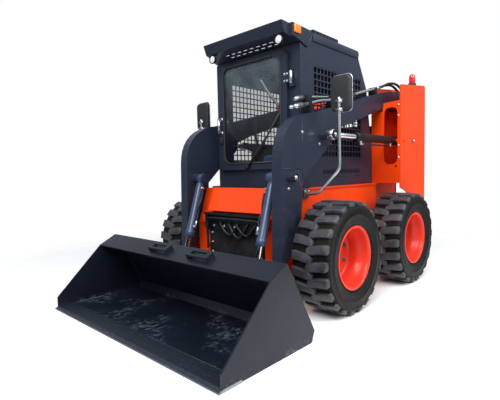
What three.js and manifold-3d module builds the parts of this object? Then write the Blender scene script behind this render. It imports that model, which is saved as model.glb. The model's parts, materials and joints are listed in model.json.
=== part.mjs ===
// Skid steer loader with a radial lift arm, a general-purpose bucket and a closed cab.
// Millimetres, +Z up. The machine faces -Y and its own left side is +X. In the code y = 0 is the
// front axle and z = 0 the ground; the finished group is shifted so that y = 0 is mid-length.
import * as THREE from 'three';
import { mergeVertices } from 'three/addons/utils/BufferGeometryUtils.js';
import Module from 'manifold-3d';

const wasm = await Module();
wasm.setup();

// ---------------------------------------------------------------- driving dimensions
const gap = 0.3;                 // between fixed pieces that touch
const pinPlay = 0.9;             // radial play of a pin in a turning eye
const sheet = 10;                // body plate thickness

const tyreRadius = 400;
const tyreWidth = 296;
const rimSeatRadius = 209;
const rimFlangeRadius = 228;
const wheelSides = 24;
const roundSides = 12;           // small bars and bosses
const pinSides = 16;             // pivot pins and their eyes
const wheelbase = 1078;

const cabHalf = 454.5;           // half width over the cab walls
const cabFloorZ = 885;           // bottom edge of the cab walls
const cabFront = -33;            // front plane of the cab
const cabRoofZ = 2045;           // top of the cab walls
const doorThickness = 28;
const armGap = 12.5;             // cab wall to lift arm
const armWidth = 84;
const tyreGap = 55;              // lift arm to tyre
const uprightTopFront = 1780;
const uprightTopRear = 1846;
const uprightDepth = 596;

const bucketWidth = 1863;
const bucketSheet = 10;
const bladeTip = [-1351, 0];
const heelLow = [-607, 0];
const heelHigh = [-574, 67];
const backTop = [-826, 514];
const lipFront = [-966, 442];

const hitchPin = [-410, 165];    // bucket tilts about this pin
const tiltEye = [-500, 330];     // rod eye of the tilt cylinder
const tiltBase = [-300, 970];    // base pin of the tilt cylinder
const liftEye = [110, 1280];     // rod eye of the lift cylinder
const tiltX = 395;               // plane of the tilt cylinders
const pinRadius = 20;
const armPinRadius = 26;

// ---------------------------------------------------------------- values that follow
const armInner = cabHalf + armGap;
const armOuter = armInner + armWidth;
const trackInner = armOuter + tyreGap;
const wheelCentre = trackInner + tyreWidth / 2;
const uprightFront = wheelbase + 52;
const uprightRear = uprightFront + uprightDepth;
const uprightInner = cabHalf - 14;
const uprightOuter = trackInner + 120;
const cabRear = uprightFront - 20;
const armPivot = [wheelbase + 502, 1700];
const liftBase = [wheelbase + 129, 1281];
const liftX = (armOuter + uprightOuter) / 2 - 8;
const tubRear = uprightRear - 88;
const tailY = uprightRear + 25;
const middle = (tailY + bladeTip[0]) / 2;

// ---------------------------------------------------------------- materials
function paint(color, roughness, metalness) {
  return new THREE.MeshStandardMaterial({ color, roughness, metalness });
}
const orange = paint(0xf24a12, 0.38, 0.1);
const navy = paint(0x2e3340, 0.45, 0.15);
const charcoal = paint(0x1b1d22, 0.6, 0.1);
const rubber = paint(0x35302f, 0.9, 0);
const rimRed = paint(0xe8432f, 0.4, 0.1);
const steelBlue = paint(0x3a4f73, 0.4, 0.3);
const chrome = paint(0xd9dde0, 0.15, 1);
const zinc = paint(0xb9bec2, 0.35, 0.8);
const glass = paint(0x6c7c88, 0.05, 0);
const seatBlue = paint(0x3a5f8c, 0.85, 0);
const amber = paint(0xff8a1c, 0.25, 0);
const red = paint(0xd81c24, 0.25, 0);
const lampClear = paint(0xe6ecee, 0.1, 0);
const iron = paint(0x4a4642, 0.7, 0.6);

// ---------------------------------------------------------------- shape helpers
const X = new THREE.Vector3(1, 0, 0);
const Y = new THREE.Vector3(0, 1, 0);
const Z = new THREE.Vector3(0, 0, 1);
const sideView = new THREE.Matrix4().makeBasis(Y, Z, X);               // outline (y, z), depth +x
const frontView = new THREE.Matrix4().makeBasis(X, Z, Y.clone().negate()); // outline (x, z), depth -y

function solidOf(geometry) {
  const bare = geometry.clone();
  bare.deleteAttribute('normal');
  bare.deleteAttribute('uv');
  const merged = mergeVertices(bare, 1e-3);
  return new wasm.Manifold(new wasm.Mesh({
    numProp: 3,
    vertProperties: Float32Array.from(merged.attributes.position.array),
    triVerts: Uint32Array.from(merged.index.array),
  }));
}

function join(...solids) {
  return solids.reduce((whole, solid) => whole.add(solid));
}

function shapeOf(points) {
  return points instanceof THREE.Shape ? points
    : new THREE.Shape(points.map(([a, b]) => new THREE.Vector2(a, b)));
}

// A closed outline whose corners are rounded, each by the third number of its point.
function rounded(points) {
  const shape = new THREE.Shape();
  points.forEach(([a, b, radius = 0], i) => {
    const here = new THREE.Vector2(a, b);
    const before = new THREE.Vector2(...points.at(i - 1).slice(0, 2));
    const after = new THREE.Vector2(...points[(i + 1) % points.length].slice(0, 2));
    const start = before.sub(here).setLength(radius).add(here);
    const end = after.sub(here).setLength(radius).add(here);
    if (i === 0) shape.moveTo(start.x, start.y);
    else shape.lineTo(start.x, start.y);
    if (radius > 0) shape.quadraticCurveTo(a, b, end.x, end.y);
  });
  return shape;
}

function window4(a0, a1, b0, b1, radius) {
  return rounded([[a0, b0, radius], [a1, b0, radius], [a1, b1, radius], [a0, b1, radius]]);
}

// A plate seen from the side, between two x planes.
function sidePlate(points, xa, xb, curveSegments = 4) {
  const depth = Math.abs(xb - xa);
  const geometry = new THREE.ExtrudeGeometry(shapeOf(points), { depth, bevelEnabled: false, curveSegments });
  return solidOf(geometry.applyMatrix4(sideView).translate(Math.min(xa, xb), 0, 0));
}

// A plate seen from the front, between two y planes.
function frontPlate(points, ya, yb, curveSegments = 4) {
  const depth = Math.abs(yb - ya);
  const geometry = new THREE.ExtrudeGeometry(shapeOf(points), { depth, bevelEnabled: false, curveSegments });
  return solidOf(geometry.applyMatrix4(frontView).translate(0, Math.max(ya, yb), 0));
}

function block(xa, xb, ya, yb, za, zb) {
  const geometry = new THREE.BoxGeometry(Math.abs(xb - xa), Math.abs(yb - ya), Math.abs(zb - za));
  return solidOf(geometry.translate((xa + xb) / 2, (ya + yb) / 2, (za + zb) / 2));
}

function bar(from, to, radius, sides = roundSides) {
  const start = new THREE.Vector3(...from);
  const end = new THREE.Vector3(...to);
  const along = end.clone().sub(start);
  const geometry = new THREE.CylinderGeometry(radius, radius, along.length(), sides);
  geometry.applyQuaternion(new THREE.Quaternion().setFromUnitVectors(Y, along.normalize()));
  return solidOf(geometry.translate(...start.add(end).multiplyScalar(0.5).toArray()));
}

// A round boss or pin along x at a (y, z) point.
function crossBar([y, z], xa, xb, radius, sides = roundSides) {
  return bar([xa, y, z], [xb, y, z], radius, sides);
}

// A ring turned about the x axis from (radius, offset) points, mirrored for the right side.
function turned(points, side, [x, y, z], sides) {
  const profile = points.map(([radius, offset]) => new THREE.Vector2(radius, side * offset));
  if (side < 0) profile.reverse();
  const geometry = new THREE.LatheGeometry(profile, sides);
  return solidOf(geometry.rotateZ(-Math.PI / 2).translate(side * x, y, z));
}

function tube(points, radius, steps) {
  const section = new THREE.Shape().absarc(0, 0, radius, 0, 2 * Math.PI);
  const path = new THREE.CatmullRomCurve3(points.map((p) => new THREE.Vector3(...p)), false, 'centripetal');
  return solidOf(new THREE.ExtrudeGeometry(section, { extrudePath: path, steps, curveSegments: 4 }));
}

function towards([y, z], [toY, toZ], length) {
  const span = Math.hypot(toY - y, toZ - z);
  return [y + (toY - y) * length / span, z + (toZ - z) * length / span];
}

function between([ya, za], [yb, zb]) {
  return Math.hypot(yb - ya, zb - za);
}

const machine = new THREE.Group();
machine.position.y = -middle;

function add(name, solid, material) {
  const mesh = solid.getMesh();
  const geometry = new THREE.BufferGeometry();
  geometry.setAttribute('position', new THREE.BufferAttribute(Float32Array.from(mesh.vertProperties), 3));
  geometry.setIndex(new THREE.BufferAttribute(Uint32Array.from(mesh.triVerts), 1));
  geometry.computeVertexNormals();
  const node = new THREE.Mesh(geometry, material);
  node.name = name;
  machine.add(node);
}

const sides = [['left', 1], ['right', -1]];

// ---------------------------------------------------------------- wheels
const beadOffset = tyreWidth / 2 - 24;       // bead face from the wheel's middle plane
const flangeOffset = beadOffset + 7;
const shoulderRadius = tyreRadius - 52;
const wallRadius = (rimFlangeRadius + shoulderRadius) / 2;   // middle of the side wall
const discOffset = -40;                      // outer face of the wheel disc
const discThickness = 12;
const axleFace = wheelCentre + discOffset - discThickness;

const tyreProfile = [
  [rimSeatRadius + gap, -beadOffset],
  [rimFlangeRadius + 2, -beadOffset],
  [wallRadius, -tyreWidth / 2],
  [shoulderRadius, -tyreWidth / 2 + 3],
  [tyreRadius, -tyreWidth / 2 + 28],
  [tyreRadius, tyreWidth / 2 - 28],
  [shoulderRadius, tyreWidth / 2 - 3],
  [wallRadius, tyreWidth / 2],
  [rimFlangeRadius + 2, beadOffset],
  [rimSeatRadius + gap, beadOffset],
  [rimSeatRadius + gap, beadOffset - 30],
  [wallRadius + 10, beadOffset - 4],
  [tyreRadius - 34, beadOffset - 30],
  [tyreRadius - 34, -beadOffset + 30],
  [wallRadius + 10, -beadOffset + 4],
  [rimSeatRadius + gap, -beadOffset + 30],
  [rimSeatRadius + gap, -beadOffset],
];
const barrelRadius = rimSeatRadius - 9;
const rimProfile = [
  [0, discOffset - discThickness],
  [barrelRadius, discOffset - discThickness],
  [barrelRadius, -flangeOffset],
  [rimFlangeRadius, -flangeOffset],
  [rimFlangeRadius, -beadOffset - gap],
  [rimSeatRadius, -beadOffset - gap],
  [rimSeatRadius, beadOffset + gap],
  [rimFlangeRadius, beadOffset + gap],
  [rimFlangeRadius, flangeOffset],
  [barrelRadius, flangeOffset],
  [barrelRadius, discOffset],
  [84, discOffset],
  [74, discOffset + 16],
  [0, discOffset + 16],
];

for (const [sideName, side] of sides) {
  for (const [axleName, y] of [['front', 0], ['rear', wheelbase]]) {
    const centre = [wheelCentre, y, tyreRadius];
    add(`tyre_${axleName}_${sideName}`, turned(tyreProfile, side, centre, wheelSides), rubber);
    add(`rim_${axleName}_${sideName}`, turned(rimProfile, side, centre, wheelSides), rimRed);
  }
}

// ---------------------------------------------------------------- lower frame
const tubFloorZ = 230;
const tubTopZ = cabFloorZ - gap;
const tubFrontMid = [-250, 690];
const tubFrontTop = [-190, tubTopZ];
const tubOutline = [
  [-290, 260], [-290, 600], tubFrontMid, tubFrontTop,
  [tubRear, tubTopZ], [tubRear, 310], [tubRear - 90, tubFloorZ], [-250, tubFloorZ],
];
const tubHollow = [
  [-280, 264], [-280, 598], [-240, 688], [-164, tubTopZ + 40],
  [tubRear - sheet, tubTopZ + 40], [tubRear - sheet, 314], [tubRear - 94, tubFloorZ + sheet],
  [-246, tubFloorZ + sheet],
];
const caseOuter = armInner + 33;

function chainCase(side) {
  const inner = cabHalf - 4;
  const body = block(side * inner, side * (caseOuter - 12), -90, uprightFront, 310, tubTopZ - 4);
  const flange = block(side * inner, side * caseOuter, -90, uprightFront, tubTopZ - 12, tubTopZ);
  return join(body, flange);
}

function axle(side, y) {
  const tubeEnd = side * (axleFace - gap);
  const housing = crossBar([y, tyreRadius], side * (cabHalf - 6), tubeEnd, 68, 16);
  const hub = crossBar([y, tyreRadius], side * (axleFace - 22), tubeEnd, 92, 16);
  return join(housing, hub);
}

let tub = sidePlate(tubOutline, -cabHalf, cabHalf)
  .subtract(sidePlate(tubHollow, sheet - cabHalf, cabHalf - sheet))
  .subtract(block(-390, 390, tubRear - 40, tubRear + 20, 430, tubTopZ + 30));
for (const [, side] of sides) {
  tub = join(tub, chainCase(side), axle(side, 0), axle(side, wheelbase));
}
add('main_frame', tub, orange);

// sloped cover between the tilt cylinders, and the step below it
const panelHalf = 300;
const panelSheet = sidePlate(
  [[-322, 706], [-312, 706], [-232, cabFloorZ - 3], [-206, cabFloorZ - 3], [-206, cabFloorZ + 5],
    [-240, cabFloorZ + 5]],
  -panelHalf, panelHalf,
);
const panelFlange = [[-318, 706], [tubFrontMid[0] + 4.5, 706], [tubFrontTop[0] - 1.4, cabFloorZ - 3],
  [-236, cabFloorZ - 3]];
add('front_panel', join(
  panelSheet,
  sidePlate(panelFlange, -panelHalf, -panelHalf + sheet),
  sidePlate(panelFlange, panelHalf - sheet, panelHalf),
), orange);
const stepBody = join(
  block(-330, 330, -335, -256 - 34 - gap, 672, 690),
  block(-300, 300, -302, -290 - gap, 300, 680),
  block(-330, -312, -328, -290 - gap, 560, 676),
  block(312, 330, -328, -290 - gap, 560, 676),
  block(-330, 330, -308, -290 - gap, 560, 600),
);
add('front_step', stepBody, charcoal);

// ---------------------------------------------------------------- rear uprights
const archRadius = tyreRadius + 42;
const slotTopZ = 1585;
const beaconY = wheelbase + 452;
const shelfZ = uprightTopRear - 24;

const rearHingeX = uprightInner - 4;
const rearHingeY = uprightRear + 15;
const rearHingeHeights = [960, 1260];

function upright(side) {
  const inner = side * uprightInner;
  const outer = side * uprightOuter;
  const low = tubTopZ + gap;
  const wallOutline = [[uprightFront, low], [uprightRear, low], [uprightRear, uprightTopRear],
    [uprightFront, uprightTopFront]];
  const outerOutline = [[uprightFront, tyreRadius + 300], [uprightRear, tyreRadius + 300],
    [uprightRear, uprightTopRear, 30], [uprightFront, uprightTopFront, 20]].map((p) => [...p, 0].slice(0, 3));
  const frontOutline = [[inner, low], [outer, low], [outer, slotTopZ + 55],
    [side * (armOuter + 12), slotTopZ + 45], [side * (armOuter + 2), slotTopZ - 35], [inner, slotTopZ - 35]];
  const slotX = side * liftX;
  const slot = frontPlate(rounded([
    [slotX - 66, 1058, 60], [slotX + 66, 1058, 60], [slotX + 66, slotTopZ, 60], [slotX - 62, slotTopZ, 60],
  ]), uprightFront - 20, uprightFront + 30);
  const roundHole = bar([side * (uprightOuter - 44), uprightFront - 20, 1042],
    [side * (uprightOuter - 44), uprightFront + 30, 1042], 12);
  const body = join(
    sidePlate(wallOutline, inner, inner + side * 18),
    sidePlate(rounded(outerOutline), outer - side * sheet, outer),
    frontPlate(frontOutline, uprightFront, uprightFront + sheet).subtract(slot).subtract(roundHole),
    block(inner, outer, uprightRear - sheet, uprightRear, low, uprightTopRear - 40),
    block(inner, outer, uprightFront, uprightRear, low, low + sheet),
    block(outer - side * 100, outer - side * 4, beaconY - 45, beaconY + 45, shelfZ - 8, shelfZ),
    crossBar(armPivot, inner, outer, armPinRadius, pinSides),
    crossBar(liftBase, inner, outer + side * 12, pinRadius, pinSides),
  );
  const knuckles = side < 0 ? [] : rearHingeHeights.filter((z) => z > low).map((z) => join(
    bar([rearHingeX, rearHingeY, z - 56], [rearHingeX, rearHingeY, z - 30 - gap], 9),
    block(rearHingeX - 2, rearHingeX + 24, uprightRear - 4, uprightRear + 16, z - 55, z - 31),
  ));
  const arch = crossBar([wheelbase, tyreRadius], side * (trackInner - 20), outer + side * 40, archRadius, 40);
  return join(body.subtract(arch), ...knuckles);
}
for (const [sideName, side] of sides) add(`upright_${sideName}`, upright(side), orange);

// ---------------------------------------------------------------- engine bay
const hoodHalf = uprightInner - gap;
add('engine_hood', sidePlate([
  [cabRear + 12, cabFloorZ + 10], [cabRear + 12, 1430], [cabRear + 300, 1430], [uprightRear - 36, 1350],
  [uprightRear - 36, 1338], [cabRear + 298, 1418], [cabRear + 24, 1418], [cabRear + 24, cabFloorZ + 10],
], -hoodHalf, hoodHalf), charcoal);
add('engine_block', join(
  block(-230, 230, cabRear + 80, tubRear - 120, tubFloorZ + sheet + gap, 980),
  block(-150, 150, cabRear + 120, tubRear - 150, 960, 1250),
), iron);

const rearDoorHalf = uprightInner - 8;
const rearDoorFront = uprightRear - 26;
const grille = new Array(5).fill(0).map((_, i) => (
  frontPlate(window4(-300, 300, 900 + 70 * i, 930 + 70 * i, 12), rearDoorFront - 20, uprightRear + 20)
));
let rearDoor = join(
  block(-rearDoorHalf, rearDoorHalf, rearDoorFront, uprightRear - 6, 600, 1330),
  block(-rearDoorHalf + 30, -rearDoorHalf + 60, uprightRear - 10, uprightRear + 14, 980, 1080),
  ...rearHingeHeights.map((z) => join(
    bar([rearHingeX, rearHingeY, z - 30], [rearHingeX, rearHingeY, z + 30], 9),
    block(rearHingeX - 50, rearHingeX, uprightRear - 8, uprightRear + 12, z - 28, z + 28),
  )),
);
for (const louvre of grille) rearDoor = rearDoor.subtract(louvre);
add('rear_door', rearDoor, charcoal);

add('rear_bumper', sidePlate([
  [tubRear + gap, 320], [tubRear + gap, 585], [tailY - 30, 585], [tailY, 555], [tailY, 360], [tailY - 40, 320],
], -cabHalf + 4, cabHalf - 4), charcoal);

for (const [sideName, side] of sides) {
  const lampX = side * (uprightOuter - 70);
  add(`tail_lamp_${sideName}`, frontPlate(
    window4(lampX - 34, lampX + 34, 1470, 1660, 10), uprightRear + gap, tailY, 2,
  ), red);
}
const beaconX = uprightOuter - 54;
add('beacon', join(
  bar([beaconX, beaconY, shelfZ + gap], [beaconX, beaconY, shelfZ + 30], 38),
  bar([beaconX, beaconY, shelfZ + 20], [beaconX, beaconY, shelfZ + 120], 29),
), red);

// ---------------------------------------------------------------- cab
const wall = 10;
const wallInner = cabHalf - wall;
const cabSideOutline = [
  [cabFront, cabFloorZ], [cabFront, 1962], [46, 1938], [132, cabRoofZ],
  [cabRear - 280, cabRoofZ], [cabRear - 107, 1755], [cabRear, 1180], [cabRear, cabFloorZ],
];
const sideWindow = [cabFront + 173, cabRear - 210, 1120, 1830];
const visorHalf = 424;
const visorLow = [-180, 2016];
const visorRear = [52, 1950];
const guardDepth = 6;

function cabSide(side) {
  const hole = sidePlate(window4(...sideWindow, 30), side * (wallInner - 20), side * (cabHalf + 20));
  const vent = sidePlate(window4(sideWindow[0] + 120, sideWindow[1] - 40, 960, 1030, 8),
    side * (wallInner - 20), side * (cabHalf + 20));
  return sidePlate(cabSideOutline, side * wallInner, side * cabHalf).subtract(hole).subtract(vent);
}

// A flat guard: a rounded panel with square openings, laid out flat and moved by a matrix.
function barGuard([a0, a1, b0, b1], columns, rows, barWidth, depth, matrix) {
  const panel = new THREE.ExtrudeGeometry(window4(a0, a1, b0, b1, 34), {
    depth, bevelEnabled: false, curveSegments: 2,
  });
  let guard = solidOf(panel.applyMatrix4(matrix));
  const stepA = (a1 - a0 - barWidth) / columns;
  const stepB = (b1 - b0 - barWidth) / rows;
  for (let i = 0; i < columns; i += 1) {
    for (let j = 0; j < rows; j += 1) {
      const opening = new THREE.BoxGeometry(stepA - barWidth, stepB - barWidth, depth * 3);
      opening.translate(a0 + barWidth / 2 + stepA * (i + 0.5), b0 + barWidth / 2 + stepB * (j + 0.5), depth / 2);
      guard = guard.subtract(solidOf(opening.applyMatrix4(matrix)));
    }
  }
  return guard;
}

for (const [sideName, side] of sides) {
  add(`cab_side_${sideName}`, cabSide(side), navy);
  const [y0, y1, z0, z1] = sideWindow;
  const guardAt = new THREE.Matrix4().makeTranslation(side * (cabHalf - wall / 2) - guardDepth / 2, 0, 0);
  add(`side_guard_${sideName}`, barGuard(
    [y0 + gap, y1 - gap, z0 + gap, z1 - gap], 5, 5, 12, guardDepth, guardAt.multiply(sideView),
  ), navy);
}

// front frame round the door opening
const frontInner = cabFront + 24;
const doorLeft = 352;            // hinge side edge of the door
const doorRight = -400;
const doorLow = 1036;
const doorHigh = 1930;
const frontHalf = wallInner - gap;
const doorBack = cabFront - 6;
const doorFace = doorBack - doorThickness;
const hingeX = doorLeft + 34;
const hingeY = doorFace + 8;
const hingeHeights = [1210, 1720];
// height of the visor's underside at a y
function visorUnder(y) {
  return visorLow[1] + (y - visorLow[0]) * (visorRear[1] - visorLow[1]) / (visorRear[0] - visorLow[0]);
}
const frameTop = visorUnder(frontInner) - gap;
const openingOutline = window4(doorRight + 40, doorLeft - 40, doorLow + 30, doorHigh - 30, 60);
const frontFrame = frontPlate(
  [[-frontHalf, cabFloorZ], [frontHalf, cabFloorZ], [frontHalf, frameTop], [-frontHalf, frameTop]],
  cabFront, frontInner,
).subtract(frontPlate(openingOutline, cabFront - 20, frontInner + 20));
const frameKnuckles = hingeHeights.map((z) => join(
  bar([hingeX, hingeY, z - 70], [hingeX, hingeY, z - 45 - gap], 11),
  block(hingeX - 4, hingeX + 26, hingeY - 5, cabFront + 4, z - 69, z - 46),
));
add('cab_front_frame', join(frontFrame, ...frameKnuckles), navy);

const visorOutline = [[-210, 2094], visorLow, visorRear, [136, 2070], [130, 2080]];
const visorHollow = [[-198, 2086], [-172, 2024], [47, 1962], [122, 2066], [118, 2071]];
let visor = sidePlate(visorOutline, -visorHalf, visorHalf)
  .subtract(sidePlate(visorHollow, -visorHalf + 8, visorHalf - 8));
for (let i = 0; i < 8; i += 1) {
  const x = -238 + i * 68;
  visor = visor.subtract(block(x - 20, x + 20, -108, -96, 1960, 2030));
  visor = visor.subtract(block(x + 2, x + 42, -70, -58, 1960, 2030));
}
const cheekFront = -120;
const cheekOutline = [[cheekFront, visorUnder(cheekFront)], visorRear, [136, 2070], [130, 2080], [cheekFront, 2090]];
for (const [, side] of sides) {
  visor = join(visor, sidePlate(cheekOutline, side * (visorHalf - 8), side * cabHalf));
}
add('cab_visor', visor, navy);

add('cab_roof', join(
  block(-cabHalf, cabHalf, 138 + gap, cabRear - 272, cabRoofZ + gap, cabRoofZ + 26),
  block(-wallInner + gap, wallInner - gap, 138 + gap, cabRear - 290, cabRoofZ - 30, cabRoofZ + 10),
), navy);
add('roof_vent', block(-400, 400, 222, 600, cabRoofZ + 26 + gap, cabRoofZ + 85), charcoal);

// slanted rear of the cab with its guard opening
const rearWall = [[cabRear - 272, cabRoofZ - 6], [cabRear - 100, 1758], [cabRear + 4, 1180], [cabRear + 4, 900],
  [cabRear - 8, 900], [cabRear - 8, 1178], [cabRear - 112, 1752], [cabRear - 276, cabRoofZ - 31 - gap],
  [cabRear - 280, cabRoofZ - 31 - gap]];
const rearHalf = wallInner - gap;
const rearOpening = frontPlate(window4(-340, 340, 1260, 1700, 40), cabRear - 200, cabRear + 40);
add('cab_rear', sidePlate(rearWall, -rearHalf, rearHalf).subtract(rearOpening), navy);
const guardLean = Math.atan2(104, 578);
const rearGuardAt = new THREE.Matrix4().makeTranslation(0, cabRear - 49, 1480)
  .multiply(new THREE.Matrix4().makeRotationX(guardLean)).multiply(frontView);
add('rear_guard', barGuard([-339.6, 339.6, -212, 212], 5, 3, 12, guardDepth, rearGuardAt), navy);

// floor pan with the seat plinth standing on it
const floorZ = 700;
const plinthTop = 1040;
add('cab_floor', join(
  block(-wallInner + gap, wallInner - gap, -200, 760, floorZ, floorZ + sheet),
  block(-240, 240, 330, 760, floorZ + 4, plinthTop),
), charcoal);
const seatOutline = rounded([
  [270, plinthTop + gap, 20], [800, plinthTop + gap, 30], [880, 1640, 40], [790, 1640, 40],
  [700, 1190, 40], [270, 1175, 45],
]);
add('seat', sidePlate(seatOutline, -235, 235, 5), seatBlue);
for (const [sideName, side] of sides) {
  const x = side * 300;
  add(`control_lever_${sideName}`, join(
    block(x - 48, x + 48, 280, 640, floorZ + sheet + gap, 1230),
    bar([x, 320, 1220], [x, 290, 1400], 10),
    bar([x, 292, 1385], [x, 276, 1480], 24),
  ), charcoal);
  const lampY = -154;
  add(`work_lamp_${sideName}`, join(
    bar([side * 362, lampY - 20, 1978], [side * 362, lampY + 20, 1976], 35),
    block(side * 350, side * 374, lampY - 8, lampY + 12, 1990, 2030),
  ).subtract(sidePlate([[-400, visorUnder(-400) - gap], [52, visorUnder(52) - gap], [52, 2400], [-400, 2400]],
    -cabHalf, cabHalf)), lampClear);
}

// ---------------------------------------------------------------- doors
const glassOutline = window4(-342, 292, 1090, 1908, 70);
const doorPlate = frontPlate(window4(doorRight, doorLeft, doorLow, doorHigh, 50), doorFace, doorBack)
  .subtract(frontPlate(glassOutline, doorFace - 20, doorBack + 20));
const hingeLeaves = hingeHeights.map((z) => join(
  block(doorLeft - 30, hingeX, doorFace - 2, doorFace + 6, z - 40, z + 40),
  bar([hingeX, hingeY, z - 45], [hingeX, hingeY, z + 45], 11),
));
const handle = join(
  bar([-372, doorFace - 34, 1350], [-372, doorFace - 34, 1490], 12),
  bar([-372, doorFace - 34, 1362], [-372, doorFace + 6, 1362], 9),
  bar([-372, doorFace - 34, 1478], [-372, doorFace + 6, 1478], 9),
);
add('cab_door', join(doorPlate, ...hingeLeaves, handle), navy);
add('door_glass', frontPlate(window4(-342 + gap, 292 - gap, 1090 + gap, 1908 - gap, 70),
  doorFace + 10, doorFace + 16), glass);

// ---------------------------------------------------------------- lift arms
const lobe = 100;
const hitchLobe = 66;

function armOutline() {
  const [pivotY, pivotZ] = armPivot;
  const [pinY, pinZ] = hitchPin;
  const shape = new THREE.Shape();
  shape.moveTo(pinY, pinZ + 214);
  shape.lineTo(-393, 1100);
  shape.quadraticCurveTo(-385, 1345, -129, 1421);
  shape.lineTo(15, 1445);
  shape.lineTo(231, 1499);
  shape.lineTo(pivotY - 450, pivotZ + 31);
  shape.absarc(pivotY, pivotZ, lobe, Math.PI * 0.54, -Math.PI * 0.5, true);
  shape.lineTo(pivotY - 397, pivotZ - 107);
  shape.lineTo(394, 1362);
  shape.lineTo(228, 1297);
  shape.lineTo(200, 1216);
  shape.lineTo(120, 1145);
  shape.lineTo(-34, 1036);
  shape.lineTo(-155, 930);
  shape.lineTo(-159, 805);
  shape.lineTo(-198, 520);
  shape.lineTo(-343, 379);
  shape.absarc(pinY, pinZ, hitchLobe, 0.1, -Math.PI - 0.15, true);
  return shape;
}

function liftArm(side) {
  const inner = side * armInner;
  const outer = side * armOuter;
  const tiltEyeHalf = 30;
  const plate = sidePlate(armOutline(), inner, outer, 8)
    .subtract(crossBar(armPivot, inner - side * 20, outer + side * 20, armPinRadius + pinPlay, pinSides))
    .subtract(crossBar(hitchPin, inner - side * 20, outer + side * 20, pinRadius + pinPlay, pinSides));
  return join(
    plate,
    crossBar(tiltBase, side * (tiltX + tiltEyeHalf + 2), inner + side * 4, 44),
    crossBar(tiltBase, side * (tiltX - tiltEyeHalf - 16), inner + side * 4, pinRadius, pinSides),
    crossBar(tiltBase, side * (tiltX - tiltEyeHalf - 16), side * (tiltX - tiltEyeHalf - 2), 34),
    crossBar(tiltBase, outer - side * 4, outer + side * 44, 33),
    crossBar(liftEye, outer - side * 4, side * (liftX - 31), 38),
  );
}
for (const [sideName, side] of sides) add(`lift_arm_${sideName}`, liftArm(side), navy);
add('arm_crossbeam', sidePlate(rounded([
  [-402, 224, 18], [-335, 224, 18], [-335, 300, 18], [-402, 300, 18],
]), -armInner + gap, armInner - gap), navy);

// auxiliary pipes lie on the left arm's top edge, held by clamp blocks
function armTopZ(y) {
  const slope = (armPivot[1] + 31 - 1499) / (armPivot[0] - 450 - 231);
  return y > 231 ? 1499 + slope * (y - 231) : 1499 - 0.2167 * (231 - y);
}
const pipeLines = [
  { x: armInner + 20, nose: [-150, 1532], neck: [-12, 1556], along: [[94, 1575], [300, 1598], [620, 1652]] },
  { x: armInner + 62, nose: [-263, 1454], neck: [-48, 1502], along: [[100, 1541], [300, 1574], [620, 1650]] },
];
const pipeEnd = armPivot[0] - 470;
const pipeLift = 48;             // pipe above the arm's top edge at its rear end
function clampBlock(y, height) {
  const low = (yy) => armTopZ(yy) + 0.5;
  return sidePlate([[y - 14, low(y - 14)], [y + 14, low(y + 14)], [y + 14, low(y + 14) + height],
    [y - 14, low(y - 14) + height]], armInner + 4, armOuter - 4);
}
const pipes = pipeLines.map(({ x, nose, neck, along }) => {
  const line = [neck, ...along, [pipeEnd, armTopZ(pipeEnd) + pipeLift]].map(([y, z]) => [x, y, z]);
  return join(bar([x, ...nose], [x, ...neck], 20), tube(line, 10, 12));
});
add('aux_pipes', join(...pipes, clampBlock(-30, 132), clampBlock(300, 92), clampBlock(620, 64),
  clampBlock(pipeEnd - 90, 64)), zinc);

// ---------------------------------------------------------------- hydraulic cylinders
// The barrel hangs on a fixed pin; the rod starts inside it and ends in an eye.
function cylinder(name, side, x, base, eye, barrelRadius, rodRadius, barrelLength, rodStart, pullIn, eyeHalf, eyeRadius) {
  const at = side * x;
  const point = (length) => [at, ...towards(base, eye, length)];
  const reach = between(base, eye);
  const bore = bar(point(rodStart - pullIn - 4), point(barrelLength + 40), rodRadius + gap);
  const barrel = join(
    bar(point(eyeRadius + 8), point(barrelLength), barrelRadius),
    bar(point(0), point(eyeRadius + 20), eyeHalf - 4),
    bar(point(barrelLength - 46), point(barrelLength), barrelRadius + 5),
    crossBar(base, at - eyeHalf, at + eyeHalf, eyeRadius),
  ).subtract(bore).subtract(crossBar(base, at - eyeHalf - 20, at + eyeHalf + 20, pinRadius + pinPlay, pinSides));
  const rod = join(
    bar(point(rodStart), point(reach), rodRadius),
    crossBar(eye, at - eyeHalf, at + eyeHalf, eyeRadius),
  );
  return [barrel, rod];
}

for (const [sideName, side] of sides) {
  const [liftBarrel, liftRod] = cylinder('lift', side, liftX, liftBase, liftEye, 34, 20, 740, 60, 0, 26, 40);
  add(`lift_barrel_${sideName}`, liftBarrel, charcoal);
  add(`lift_rod_${sideName}`, liftRod, chrome);
  const [tiltBarrel, tiltRod] = cylinder('tilt', side, tiltX, tiltBase, tiltEye, 33, 19, 500, 132, 74, 30, 40);
  add(`tilt_barrel_${sideName}`, tiltBarrel, steelBlue);
  add(`tilt_rod_${sideName}`, tiltRod, chrome);
}

// ---------------------------------------------------------------- bucket
function beyond([y, z], [toY, toZ], side) {
  const length = Math.hypot(toY - y, toZ - z);
  return [side * -(toZ - z) / length, side * (toY - y) / length];
}
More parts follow.
